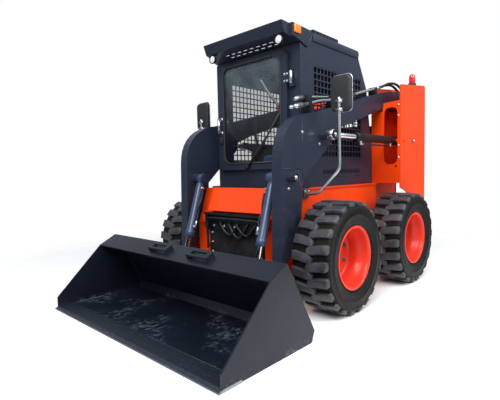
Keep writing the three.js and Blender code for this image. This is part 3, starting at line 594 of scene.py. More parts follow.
class LOADER_OT_rims(bpy.types.Operator):
    """Deep steel rims with a turned flange, a set-back disc, hub and wheel nuts"""
    bl_idname = "loader.rims"
    bl_label = "Rims"

    def execute(self, context):
        bolts = context.scene.loader_wheels.bolts
        for side_name, side in SIDES:
            for axle in AXLES:
                centre = wheel_centre(axle, side_name)
                out = (side, 0, 0)
                bm = bmesh.new()
                lathe(bm, [
                    (0, -0.0515), (0.195, -0.0515), (0.2005, -0.058), (0.2005, -0.116), (0.208, -0.1300),
                    (0.2240, -0.1308), (0.2278, -0.1285), (0.2270, -0.1250), (0.2090, -0.1240),
                    (0.2085, -0.10), (0.2085, 0.100), (0.2090, 0.1240), (0.2270, 0.1250),
                    (0.2279, 0.1275), (0.2262, 0.1305), (0.2180, 0.1308), (0.2120, 0.1290),
                    (0.2070, 0.1230), (0.2040, 0.112), (0.2000, 0.098), (0.1975, 0.060), (0.1850, 0.048),
                    (0.1835, 0.000), (0.1820, -0.022), (0.174, -0.032), (0.160, -0.036), (0.118, -0.041),
                    (0.100, -0.0395), (0.092, -0.030), (0.086, -0.0255), (0.0, -0.0255),
                ], centre, out, 112)
                body = f"wheel_{axle}_{side_name}"
                piece(f"wheel_rim_{axle}_{side_name}", bm, "rim", body,
                      hides=[f"rim_{axle}_{side_name}"], smooth=32)
                bm = bmesh.new()
                for i in range(bolts):
                    angle = 2 * math.pi * (i + 0.5) / bolts
                    spot = Vector((0, math.cos(angle), math.sin(angle))) * 0.136 + Vector(centre)
                    lathe(bm, [(0, -0.041), (0.0165, -0.041), (0.0165, -0.0375), (0.0135, -0.0365),
                               (0.0135, -0.0255), (0.0115, -0.0235), (0.0065, -0.0235), (0.006, -0.016),
                               (0, -0.0155)], spot, out, 6)
                lathe(bm, [(0.062, -0.0262), (0.062, -0.020), (0.058, -0.017), (0.020, -0.014), (0, -0.0135)],
                      centre, out, 48)
                piece(f"wheel_nuts_{axle}_{side_name}", bm, "iron", body, smooth=25)
        return {"FINISHED"}


# ------------------------------------------------------------------ hydraulic cylinders
PORT_INSET = 0.085


def cylinder_line(kind, side_name):
    """Base pin and direction of a cylinder at rest, from its joints."""
    base = Vector(JOINTS[f"{kind}_barrel_swing_{side_name}"]["pos_m"])
    along = Vector(JOINTS[f"{kind}_rod_slide_{side_name}"]["axis"]).normalized()
    return base, along


def eye_ring(bm, centre, bore, eye, half):
    """The turned eye at the end of a cylinder or rod, with its bore across the machine."""
    lathe(bm, [(bore, -half), (eye - 0.002, -half), (eye, -half + 0.002), (eye, half - 0.002),
               (eye - 0.002, half), (bore, half), (bore, -half)], centre, (1, 0, 0), 40)


class LOADER_OT_cylinders(bpy.types.Operator):
    """Hydraulic cylinders: tubes with glands, welded ports and eyes, and chromed rods"""
    bl_idname = "loader.cylinders"
    bl_label = "Cylinders"

    def execute(self, context):
        sizes = {
            # tube radius, tube length, rod radius, reach to the rod's eye, eye radius, eye half width
            "lift": (0.034, 0.740, 0.020, 1.0970, 0.040, 0.026, "black", "black_paint"),
            "tilt": (0.033, 0.500, 0.019, 0.6705, 0.040, 0.030, "tube_blue", "blue_grey_paint"),
        }
        for kind, (tube, length, rod, reach, eye, half, finish, slot) in sizes.items():
            for side_name, side in SIDES:
                base, along = cylinder_line(kind, side_name)
                bm = bmesh.new()
                lathe(bm, [
                    (0, 0.047), (tube - 0.006, 0.047), (tube - 0.001, 0.050), (tube, 0.054),
                    (tube, length - 0.060), (tube + 0.001, length - 0.058), (tube + 0.0045, length - 0.055),
                    (tube + 0.0045, length - 0.004), (tube + 0.002, length - 0.001), (rod + 0.0035, length),
                    (rod + 0.0035, length - 0.012), (rod + 0.0010, length - 0.012),
                    (rod + 0.0010, length - 0.20),
                ], base, along, 40)
                drum(bm, base + along * 0.018, base + along * 0.056, half - 0.004, 24)
                eye_ring(bm, base, 0.0212, eye, half)
                piece(f"{kind}_tube_{side_name}", bm, finish, f"{kind}_barrel_{side_name}",
                      hides=[f"{kind}_barrel_{side_name}"], smooth=30)
                bm = bmesh.new()
                start = 0.07 if kind == "lift" else 0.134
                drum(bm, base + along * start, base + along * (reach - 0.030), rod, 40)
                end = base + along * reach
                eye_ring(bm, end, 0.014, eye, half)
                drum(bm, end - Vector((half - 0.004, 0, 0)), end + Vector((half - 0.004, 0, 0)), 0.014, 24)
                piece(f"{kind}_shaft_{side_name}", bm, "chrome", f"{kind}_rod_{side_name}",
                      hides=[f"{kind}_rod_{side_name}"], smooth=30)
                self.fittings(kind, side_name, side, base, along, tube, length)
        return {"FINISHED"}

    def fittings(self, kind, side_name, side, base, along, tube, length):
        """Ports and the jumper hose that lies along the tube."""
        outward = Vector((-side, 0, 0)) if kind == "tilt" else Vector((0, 0, -1))
        across = along.cross(outward).normalized()
        bm = bmesh.new()
        hose = bmesh.new()
        for port in (PORT_INSET, length - PORT_INSET):
            foot = base + along * port
            drum(bm, foot + outward * (tube - 0.003), foot + outward * (tube + 0.012), 0.013, 20)
            drum(bm, foot + outward * (tube + 0.010), foot + outward * (tube + 0.024), 0.0105, 6, 0.001)
        low = base + along * (length - PORT_INSET) + outward * (tube + 0.020)
        high = base + along * PORT_INSET + outward * (tube + 0.020)
        drum(bm, low, low - along * 0.050, 0.0095, 18)
        path = smooth_path([low - along * 0.045, low - along * 0.12 + outward * 0.002,
                            (low + high) / 2 + across * 0.012, high + along * 0.10, high + along * 0.03])
        pipe(hose, path, 0.0075, 14)
        body = f"{kind}_barrel_{side_name}"
        piece(f"{kind}_ports_{side_name}", bm, "zinc", body, smooth=25)
        piece(f"{kind}_hose_{side_name}", hose, "hose", body, smooth=40)


# ------------------------------------------------------------------ shared places
def at(x, y, z):
    """Metres in the frame from millimetres measured along the machine from its front axle."""
    return Vector((x, y - 200, z)) / 1000


def side_view(points):
    """Metres in the frame for (place along, height) points of a side outline."""
    return [tuple(at(0, *point))[1:] for point in points]


def rear_view(low, high, radius):
    """A rounded (height, place across) outline in millimetres, as metres for a prism along y."""
    return [(height / 1000, across / 1000) for height, across in rounded_outline(low, high, radius)]


def arm_top(y):
    """Height of the lift arm's top edge in millimetres at a distance behind the front axle."""
    return 1499 + (0.25806 if y > 231 else 0.2167) * (y - 231)


def hexagon_bolt(bm, foot, direction, radius=0.010):
    """A washer and a hexagon head standing on a face."""
    foot, along = Vector(foot), Vector(direction).normalized()
    drum(bm, foot - along * 0.001, foot + along * 0.0025, radius * 1.45, 20, 0.0006)
    drum(bm, foot + along * 0.002, foot + along * (0.002 + radius * 0.85), radius, 6, 0.0008)


def lattice(bm, place, width, height, columns, rows, bar, thick):
    """A flat panel with rectangular openings, laid out in its own plane and moved by a matrix."""
    def stops(size, count):
        pitch = (size - bar) / count
        marks = [0.0]
        for i in range(count):
            marks += [pitch * i + bar, pitch * (i + 1)]
        return [mark - size / 2 for mark in (*marks, size)]

    across, upward = stops(width, columns), stops(height, rows)
    low, high = ([[bm.verts.new(place @ Vector((a, b, c))) for b in upward] for a in across]
                 for c in (-thick / 2, thick / 2))
    last_i, last_j = len(across) - 1, len(upward) - 1

    def solid(i, j):
        return 0 <= i < last_i and 0 <= j < last_j and not (i % 2 and j % 2)

    for i in range(last_i):
        for j in range(last_j):
            if not solid(i, j):
                continue
            bm.faces.new((low[i][j], low[i][j + 1], low[i + 1][j + 1], low[i + 1][j]))
            bm.faces.new((high[i][j], high[i + 1][j], high[i + 1][j + 1], high[i][j + 1]))
            edges = (
                ((i - 1, j), (i, j), (i, j + 1)), ((i + 1, j), (i + 1, j), (i + 1, j + 1)),
                ((i, j - 1), (i, j), (i + 1, j)), ((i, j + 1), (i, j + 1), (i + 1, j + 1)),
            )
            for beside, one, two in edges:
                if not solid(*beside):
                    (ia, ja), (ib, jb) = one, two
                    bm.faces.new((low[ia][ja], low[ib][jb], high[ib][jb], high[ia][ja]))


def facing(middle, across, upward):
    """A matrix that lays a flat panel at a place, with its own two directions."""
    a, b = Vector(across).normalized(), Vector(upward).normalized()
    return Matrix.Translation(middle) @ Matrix((a, b, a.cross(b))).transposed().to_4x4()


# ------------------------------------------------------------------ guards
class LOADER_OT_guards(bpy.types.Operator):
    """Mesh over the side and rear windows and slotted strips below them"""
    bl_idname = "loader.guards"
    bl_label = "Window guards"

    def execute(self, context):
        guards = context.scene.loader_guards
        for side_name, side in SIDES:
            bm = bmesh.new()
            lattice(bm, facing(at(side * 449.5, 520, 1475), (0, 1, 0), (0, 0, 1)), 0.758, 0.708,
                    round(0.76 / guards.pitch), round(0.71 / guards.pitch), guards.bar, 0.006)
            piece(f"side_mesh_{side_name}", bm, "navy", "chassis",
                  hides=[f"side_guard_{side_name}"], bevel=0.0012, smooth=30)
            bm = bmesh.new()
            lattice(bm, facing(at(side * 449.5, 560, 995), (0, 1, 0), (0, 0, 1)),
                    0.599, 0.069, 26, 1, 0.009, 0.006)
            piece(f"side_vent_{side_name}", bm, "navy", "chassis", smooth=30)
        lean = math.atan2(104, 578)
        bm = bmesh.new()
        lattice(bm, facing(at(0, 1061 - 3, 1480), (1, 0, 0), (0, -math.sin(lean), math.cos(lean))),
                0.678, 0.423, round(0.68 / guards.pitch), round(0.42 / guards.pitch), guards.bar, 0.006)
        piece("rear_mesh", bm, "navy", "chassis", hides=["rear_guard"], bevel=0.0012, smooth=30)
        return {"FINISHED"}


# ------------------------------------------------------------------ mirrors
MIRROR_X = 750


class LOADER_OT_mirrors(bpy.types.Operator):
    """Mirror heads on bent silver stems with bolted brackets"""
    bl_idname = "loader.mirrors"
    bl_label = "Mirrors"

    def execute(self, context):
        for side_name, side in SIDES:
            x = side * MIRROR_X
            bm = bmesh.new()
            prism(bm, rounded_outline((1425, x - 84), (1692, x + 84), 38), 0, 1, "y")
            for vert in bm.verts:
                front = vert.co.y < 0.5
                inward = 0.90 if front else 1.0
                z, across = vert.co.z, vert.co.x
                vert.co = at(x + (across - x) * inward, 28 if front else 58, 1558 + (z - 1558) * inward)
            piece(f"mirror_head_{side_name}", bm, "plastic", "chassis",
                  hides=[f"mirror_{side_name}"], bevel=0.009, smooth=40, segments=4)
            bm = bmesh.new()
            outline = [at(a, 59, b) for b, a in rounded_outline((1427, x - 82), (1690, x + 82), 36, 8)]
            pipe(bm, [*outline, outline[0]], 0.0035, 8)
            piece(f"mirror_trim_{side_name}", bm, "zinc", "chassis", smooth=60)
            bm = bmesh.new()
            prism(bm, rear_view((1433, x - 76), (1684, x + 76), 32), at(0, 56, 0).y, at(0, 62, 0).y, "y")
            piece(f"mirror_face_{side_name}", bm, "mirror", "chassis", bevel=0.0015)
            bm = bmesh.new()
            pipe(bm, smooth_path([at(side * 504, -44, 838), at(side * 560, -39, 843),
                                  at(side * 604, -35, 852), at(side * 645, -20, 896),
                                  at(side * 700, 1, 962), at(side * 738, 16, 1012),
                                  at(x, 20, 1055), at(x, 20, 1180), at(x, 20, 1400), at(x, 20, 1530)], 6),
                 0.011, 20)
            for z in (1440, 1500):
                brick(bm, at(x - 24, 10, z - 11), at(x + 24, 31, z + 11))
            piece(f"mirror_stem_{side_name}", bm, "zinc", "chassis", smooth=45)
            bm = bmesh.new()
            inner, outer = sorted((side * 474, side * 508))
            brick(bm, at(inner, -76, 885), at(outer, -10, 896.5))
            inner, outer = sorted((side * 500.4, side * 508))
            brick(bm, at(inner, -76, 814), at(outer, -10, 896.5))
            piece(f"mirror_bracket_{side_name}", bm, "iron", "chassis", bevel=0.002)
        return {"FINISHED"}


# ------------------------------------------------------------------ lamps
class LOADER_OT_lamps(bpy.types.Operator):
    """Work lamps, tail lamps, side signal lamps and the beacon"""
    bl_idname = "loader.lamps"
    bl_label = "Lamps"

    def execute(self, context):
        for side_name, side in SIDES:
            x = side * 362
            bm = bmesh.new()
            lathe(bm, [(0, 0.019), (0.017, 0.018), (0.027, 0.010), (0.034, -0.006), (0.035, -0.018),
                       (0.032, -0.0195), (0.031, -0.014), (0, -0.010)], at(x, -154, 1977), (0, 1, 0), 40)
            brick(bm, at(x - 9, -160, 2004), at(x + 9, -146, 2008))
            drum(bm, at(x, -153, 1990), at(x, -153, 2006), 0.009, 20)
            piece(f"lamp_shell_{side_name}", bm, "plastic", "chassis",
                  hides=[f"work_lamp_{side_name}"], smooth=40)
            bm = bmesh.new()
            lathe(bm, [(0, -0.0195), (0.014, -0.019), (0.026, -0.0165), (0.031, -0.013), (0.030, -0.010),
                       (0, -0.010)], at(x, -154, 1977), (0, 1, 0), 40)
            piece(f"lamp_glass_{side_name}", bm, "clear_lens", "chassis", smooth=50)
            self.tail(side_name, side)
            bm = bmesh.new()
            low, high = sorted((side * 454.6, side * 470))
            brick(bm, at(low, -108, 2022), at(high, -32, 2080))
            piece(f"signal_lamp_{side_name}", bm, "amber_lens", "chassis",
                  bevel=0.006, segments=3)
        bm = bmesh.new()
        foot = at(672, 1530, 1822.4)
        lathe(bm, [(0, 0), (0.036, 0), (0.038, 0.002), (0.038, 0.022), (0.034, 0.028), (0.031, 0.030),
                   (0, 0.030)], foot, (0, 0, 1), 40)
        piece("beacon_base", bm, "plastic", "chassis", hides=["beacon"], smooth=40)
        bm = bmesh.new()
        rings = [(0.0285 + (0.0012 if i % 2 else 0), 0.030 + 0.007 * i) for i in range(9)]
        lathe(bm, [(0, 0.030), *rings, (0.0270, 0.100), (0.0225, 0.110), (0.013, 0.117), (0, 0.1195)],
              foot, (0, 0, 1), 40)
        piece("beacon_dome", bm, "red_lens", "chassis", smooth=50)
        return {"FINISHED"}

    def tail(self, side_name, side):
        """One rear lamp: its shell and three lenses."""
        x = side * 656
        back, face = at(0, 1726.4, 0).y, at(0, 1750, 0).y
        bm = bmesh.new()
        prism(bm, rear_view((1470, x - 34), (1660, x + 34), 12), back, face - 0.008, "y")
        piece(f"tail_shell_{side_name}", bm, "plastic", "chassis",
              hides=[f"tail_lamp_{side_name}"], bevel=0.002)
        for part, low, high, finish in (("stop", 1570, 1655, "red_lens"), ("turn", 1512, 1566, "amber_lens"),
                                        ("reverse", 1475, 1508, "clear_lens")):
            bm = bmesh.new()
            prism(bm, rear_view((low, x - 29), (high, x + 29), 8), face - 0.009, face, "y")
            piece(f"tail_{part}_{side_name}", bm, finish, "chassis", bevel=0.003, segments=3)


# ------------------------------------------------------------------ seat
class LOADER_OT_seat(bpy.types.Operator):
    """Padded seat cushion and backrest"""
    bl_idname = "loader.seat"
    bl_label = "Seat"

    def execute(self, context):
        cushion = [(285, 1048), (275, 1100), (290, 1158), (700, 1174), (735, 1120), (738, 1048)]
        back = [(716, 1190), (742, 1120), (800, 1110), (866, 1560), (862, 1622), (806, 1624), (790, 1580)]
        for name, outline, half in (("seat_cushion", cushion, 222), ("seat_back", back, 215)):
            bm = bmesh.new()
            prism(bm, side_view(outline), -half / 1000, half / 1000, "x")
            bmesh.ops.bevel(bm, geom=bm.edges[:], offset=0.022, segments=4, affect="EDGES", profile=0.5)
            pad = piece(name, bm, "cloth", "chassis",
                        hides=["seat"] if name == "seat_cushion" else (), smooth=60)
            self.swell(context, pad)
        return {"FINISHED"}

    def swell(self, context, pad):
        """Blows the pad up a little so that its faces crown between their edges."""
        remesh = pad.modifiers.new("remesh", "REMESH")
        remesh.mode = "VOXEL"
        remesh.voxel_size = 0.008
        self.bake(context, pad)
        start = [vert.co.copy() for vert in pad.data.vertices]
        cloth = pad.modifiers.new("cloth", "CLOTH")
        cloth.settings.use_pressure = True
        cloth.settings.uniform_pressure_force = 4
        cloth.settings.effector_weights.gravity = 0
        for moment in range(1, 21):
            context.scene.frame_set(moment)
        self.bake(context, pad)
        for vert, old in zip(pad.data.vertices, start):
            move = vert.co - old
            if move.length > 0.010:
                vert.co = old + move.normalized() * 0.010
        context.scene.frame_set(1)

    def bake(self, context, pad):
        """Applies the pad's modifiers to its mesh."""
        shaped = pad.evaluated_get(context.evaluated_depsgraph_get())
        mesh = bpy.data.meshes.new_from_object(shaped)
        pad.modifiers.clear()
        pad.data = mesh
        mesh.polygons.foreach_set("use_smooth", [True] * len(mesh.polygons))


# ------------------------------------------------------------------ door
DOOR_FACE = -67


class LOADER_OT_door(bpy.types.Operator):
    """Door seal, wiper, stay, grip, lock and hinge bolts"""
    bl_idname = "loader.door"
    bl_label = "Door fittings"

    def execute(self, context):
        face = DOOR_FACE
        bm = bmesh.new()
        ring = [at(a, face - 1, b) for a, b in rounded_outline((-342, 1090), (292, 1908), 70, 10)]
        pipe(bm, [*ring, ring[0]], 0.008, 10)
        piece("door_seal", bm, "plastic", "cab_door", smooth=60)
        bm = bmesh.new()
        drum(bm, at(-62, face + 1, 1063), at(-62, face - 26, 1063), 0.019, 24)
        pipe(bm, smooth_path([at(-62, face - 22, 1063), at(-20, face - 24, 1096), at(60, face - 22, 1180),
                              at(150, face - 12, 1292)], 6), 0.007, 10)
        pipe(bm, smooth_path([at(-50, face - 16, 1072), at(40, face - 16, 1150), at(120, face - 14, 1240),
                              at(196, face - 12, 1340)], 6), 0.005, 10)
        pipe(bm, [at(20, face - 6, 1112), at(152, face - 8, 1290), at(286, face - 6, 1466)], 0.0075, 10)
        piece("wiper", bm, "plastic", "cab_door", smooth=40)
        bm = bmesh.new()
        pipe(bm, smooth_path([at(62, -38, 1760), at(110, -36, 1690), at(180, -36, 1600),
                              at(256, -38, 1520)], 6), 0.011, 16)
        pipe(bm, [at(-262, -40, 1246), at(-40, -38, 1178)], 0.0055, 12)
        piece("door_stay", bm, "zinc", "cab_door", smooth=50)
        bm = bmesh.new()
        pipe(bm, [at(-372, face - 34, 1352), at(-372, face - 34, 1488)], 0.0135, 20)
        for z in (1362, 1478):
            drum(bm, at(-372, face - 36, z), at(-372, face - 1, z), 0.0105, 20)
            drum(bm, at(-372, face - 6, z), at(-372, face + 1, z), 0.017, 24)
        piece("door_grip", bm, "zinc", "cab_door", smooth=45)
        bm = bmesh.new()
        brick(bm, at(-390, face - 16, 1268), at(-354, face + 1, 1330))
        drum(bm, at(-372, face - 15, 1300), at(-372, face - 22, 1300), 0.010, 20)
        piece("door_lock", bm, "plastic", "cab_door", bevel=0.003)
        bm = bmesh.new()
        for z in (1210, 1720):
            for x in (332, 356):
                for dz in (-26, 26):
                    hexagon_bolt(bm, at(x, face - 2, z + dz), (0, -1, 0), 0.0065)
            drum(bm, at(386, -59, z - 47), at(386, -59, z + 47), 0.0115, 20)
        piece("hinge_bolts", bm, "zinc", "cab_door", smooth=30)
        return {"FINISHED"}


# ------------------------------------------------------------------ arms
PIPE_LINES = (
    # place across, nose, neck and the points that follow, in millimetres, and whether it has a front cap
    (487, (-150, 1532), (-12, 1556), ((94, 1575), (300, 1598), (620, 1652)), False),
    (529, (-263, 1454), (-48, 1502), ((100, 1541), (300, 1574), (620, 1650)), True),
)
PIPE_CLAMPS = ((-30, 131.5), (300, 91.5), (620, 63.5), (1020, 63.5))
PIPE_END = 1110
PIPE_LIFT = 48


class LOADER_OT_arm_trim(bpy.types.Operator):
    """Pipes and couplers on the left arm, pin heads, bolts and weld beads"""
    bl_idname = "loader.arm_trim"
    bl_label = "Arm fittings"

    def execute(self, context):
        pipes, bands, hoses, clamps = (bmesh.new() for _ in range(4))
        end_height = arm_top(PIPE_END) + PIPE_LIFT
        for i, (x, nose, neck, along, capped) in enumerate(PIPE_LINES):
            line = [at(x, y, z) for y, z in (neck, *along, (850, arm_top(850) + 51), (PIPE_END, end_height))]
            pipe(pipes, smooth_path(line, 5), 0.010, 20)
            self.coupler(pipes, bands, at(x, *nose), at(x, *neck), capped)
            pipe(hoses, smooth_path([at(x, 1080, arm_top(1080) + PIPE_LIFT), at(x, 1170, 1788 + 4 * i),
                                     at(x + 4, 1300, 1826 + 12 * i), at(x + 10, 1430, 1846 + 8 * i),
                                     at(x + 14, 1530, 1828 + 8 * i), at(x + 16, 1590, 1796),
                                     at(x + 16, 1622, 1744)], 8), 0.0115, 16)
            ferrule = [at(x, y, arm_top(y) + PIPE_LIFT) for y in (1060, 1106)]
            drum(pipes, *ferrule, 0.0145, 20)
        for y, height in PIPE_CLAMPS:
            outline = ((y - 14, 0.5), (y + 14, 0.5), (y + 14, height), (y - 14, height))
            outline = side_view((place, arm_top(place) + rise) for place, rise in outline)
            prism(clamps, outline, 0.471, 0.547, "x")
        piece("arm_pipes", pipes, "zinc", "arms", hides=["aux_pipes"], smooth=32)
        piece("arm_coupler_bands", bands, "plastic", "arms", smooth=32)
        piece("arm_hoses", hoses, "hose", "arms", smooth=50)
        piece("arm_clamps", clamps, "black", "arms", bevel=0.003)
        for side_name, side in SIDES:
            self.pins(side_name, side)
            bm = bmesh.new()
            x = side * 550.5
            pipe(bm, [at(x, -150, 948), at(x, -153, 1180), at(x, -150, 1406)], 0.0035, 8)
            pipe(bm, [at(x, -384, 1030), at(x, -174, 1030)], 0.003, 8)
            piece(f"arm_welds_{side_name}", bm, "navy", "arms", smooth=60)
        return {"FINISHED"}

    def pins(self, side_name, side):
        """Dark pin heads with a bright grease fitting in the middle, and small bolts below them."""
        heads, bright = bmesh.new(), bmesh.new()
        for centre, foot, radius in (((-300, 970), 595, 0.033), ((110, 1280), 657.5, 0.036)):
            place, out = at(side * foot, *centre), (side, 0, 0)
            lathe(heads, [(0, 0), (radius, 0), (radius, 0.007), (radius - 0.003, 0.010),
                          (radius - 0.009, 0.010), (radius - 0.011, 0.005), (0, 0.005)], place, out, 36)
            lathe(bright, [(0, 0.004), (0.016, 0.004), (0.016, 0.009), (0.012, 0.011), (0.0075, 0.011),
                           (0.0070, 0.017), (0.004, 0.019), (0, 0.019)], place, out, 24)
        for y, z in ((-318, 892), (66, 1214), (-410, 300), (-150, 1290)):
            hexagon_bolt(bright, at(side * 551, y, z), (side, 0, 0), 0.008)
        piece(f"arm_pin_heads_{side_name}", heads, "black", "arms", smooth=30)
        piece(f"arm_fittings_{side_name}", bright, "zinc", "arms", smooth=30)

    def coupler(self, metal, bands, nose, tail, capped):
        """A quick coupler: bright sleeve with a black grip band, and a dust cap where it has one."""
        along, length = (tail - nose).normalized(), (tail - nose).length
        start = nose + along * 0.052 if capped else nose
        if capped:
            lathe(metal, [(0, 0), (0.009, 0.002), (0.0145, 0.008), (0.0150, 0.026), (0.010, 0.030),
                          (0.009, 0.054), (0, 0.054)], nose, along, 28)
        sleeve = (start - nose).length
        lathe(metal, [(0, 0), (0.011, 0.001), (0.0175, 0.010), (0.0195, 0.020), (0.0195, 0.084),
                      (0.0140, 0.088), (0.0140, length - sleeve - 0.004), (0.0105, length - sleeve),
                      (0, length - sleeve)],
              start, along, 32)
        for low, high, radius in ((0.0840, 0.1060, 0.0198), (0.044, 0.050, 0.0199)):
            lathe(bands, [(0.012, low), (radius, low), (radius, high), (0.012, high), (0.012, low)],
                  start, along, 32)


# ------------------------------------------------------------------ bucket
class LOADER_OT_bucket_trim(bpy.types.Operator):
    """Weld beads in the bucket's corners and along its wear plate"""
    bl_idname = "loader.bucket_trim"
    bl_label = "Bucket fittings"

    def execute(self, context):
        bm = bmesh.new()
        corner = [(-1326, 12), (-612, 12), (-590, 70), (-822, 500), (-958, 434)]
        for side in (-1, 1):
            pipe(bm, [at(side * 913, y, z) for y, z in corner], 0.005, 8)
        pipe(bm, [at(-912, -1199, 14), at(912, -1199, 14)], 0.0032, 8)
        piece("bucket_welds", bm, "bucket", "tool", smooth=60)
        return {"FINISHED"}


# ------------------------------------------------------------------ frame fittings
class LOADER_OT_frame_trim(bpy.types.Operator):
    """Bolts, front hoses and tube, small boxes, roof gutters, visor slots and vent louvres"""
    bl_idname = "loader.frame_trim"
    bl_label = "Frame fittings"

    def execute(self, context):
        self.bolts()
        for side_name, side in SIDES:
            self.box_and_gutter(side_name, side)
        self.front_tube()
        self.front_hoses()
        self.visor_slots()
        self.vent_louvres()
        return {"FINISHED"}

    def bolts(self):
        """Hexagon bolts of the front panel, uprights and mirror brackets."""
        bm = bmesh.new()
        for x in (-240, -120, 0, 120, 240):
            hexagon_bolt(bm, at(x, -308, 580), (0, -1, 0), 0.009)
        for x in (-270, 270):
            for z in (360, 440, 520):
                hexagon_bolt(bm, at(x, -302, z), (0, -1, 0), 0.009)
        for side in (-1, 1):
            for z in (1120, 1230, 1500, 1600):
                hexagon_bolt(bm, at(side * 706, 1130, z), (0, -1, 0), 0.007)
            for y in (-64, -22):
                hexagon_bolt(bm, at(side * 508, y, 862), (side, 0, 0), 0.007)
            hexagon_bolt(bm, at(side * 738.5, 1407, 1281), (side, 0, 0), 0.012)
        piece("frame_bolts", bm, "zinc", "chassis", smooth=30)

    def box_and_gutter(self, side_name, side):
        """A small box at the end of the front panel, and the trim and rain gutter of one roof edge."""
        bm = bmesh.new()
        low, high = sorted((side * 331, side * 372))
        brick(bm, at(low, -322, 606), at(high, -291, 664))
        piece(f"front_box_{side_name}", bm, "orange", "chassis", bevel=0.004)
        bm = bmesh.new()
        band = ((134, 2006), (148, 2069), (836, 2069), (852, 2042), (838, 2006))
        prism(bm, side_view(band), *sorted((side * 0.4548, side * 0.4625)), "x")
        gutter = ((-40, 1982), (44, 1956), (66, 1964), (100, 2014), (136, 2066))
        pipe(bm, smooth_path([at(side * 456, -112, 2000), *(at(side * 457, *point) for point in gutter)], 6),
             0.0055, 12)
        piece(f"roof_gutter_{side_name}", bm, "navy", "chassis", bevel=0.002, smooth=50)

    def front_tube(self):
        """The bent guard tube in front of the front panel, on four short stubs."""
        bm = bmesh.new()
        half = ((-286, -338, 396), (-286, -340, 500), (-286, -342, 610), (-278, -343, 636), (-252, -344, 646))
        route = [*half, (0, -344, 648), *((-x, y, z) for x, y, z in reversed(half))]
        pipe(bm, smooth_path([at(*point) for point in route], 6), 0.011, 18)
        for x in (-286, 286):
            for z in (420, 560):
                drum(bm, at(x, -340, z), at(x, -301, z), 0.008, 16)
        piece("front_tube", bm, "black", "chassis", smooth=50)

    def front_hoses(self):
        """Three short hoses that hang between fittings on the front panel."""
        bm = bmesh.new()
        for x, sag in ((-60, 24), (40, 40), (120, 18)):
            pipe(bm, smooth_path([at(x - 90, -304, 620), at(x - 84, -322, 600), at(x - 20, -326, 560 - sag),
                                  at(x + 40, -326, 548 - sag), at(x + 96, -322, 590),
                                  at(x + 102, -304, 614)], 8), 0.009, 14)
        piece("front_hoses", bm, "hose", "chassis", smooth=60)

    def visor_slots(self):
        """Two staggered rows of glowing plates in the visor's slots: painted daylight seen through them."""
        bm = bmesh.new()
        for i in range(8):
            x = -238 + 68 * i
            for y, shift in ((-102, 0), (-64, 22)):
                level = 2016 - (y + 180) * 66 / 232
                brick(bm, at(x + shift - 19, y - 5, level + 1.5), at(x + shift + 19, y + 5, level + 4.5))
        # The plates glow to paint the daylight seen through the slots.
        piece("visor_slots", bm, "painted_daylight", "chassis")

    def vent_louvres(self):
        """Louvres along both sides of the roof vent."""
        bm = bmesh.new()
        for side in (-1, 1):
            low, high = sorted((side * 400.5, side * 406))
            for i in range(7):
                brick(bm, at(low, 240 + i * 50, 2078), at(high, 274 + i * 50, 2122))
        piece("vent_louvres", bm, "black", "chassis", bevel=0.002)


# ------------------------------------------------------------------ stage
CAMERA_PLACE = (2.266, -2.741, 1.009)
CAMERA_YAW, CAMERA_PITCH, CAMERA_ROLL = 0.753, -0.067, -0.022
CAMERA_LENS = 29.21
LAMP_AIM = Vector((0, 0, 0.9))
FLOOR_HALF = 30
FLOOR_FADE = (1.9, 4.2)


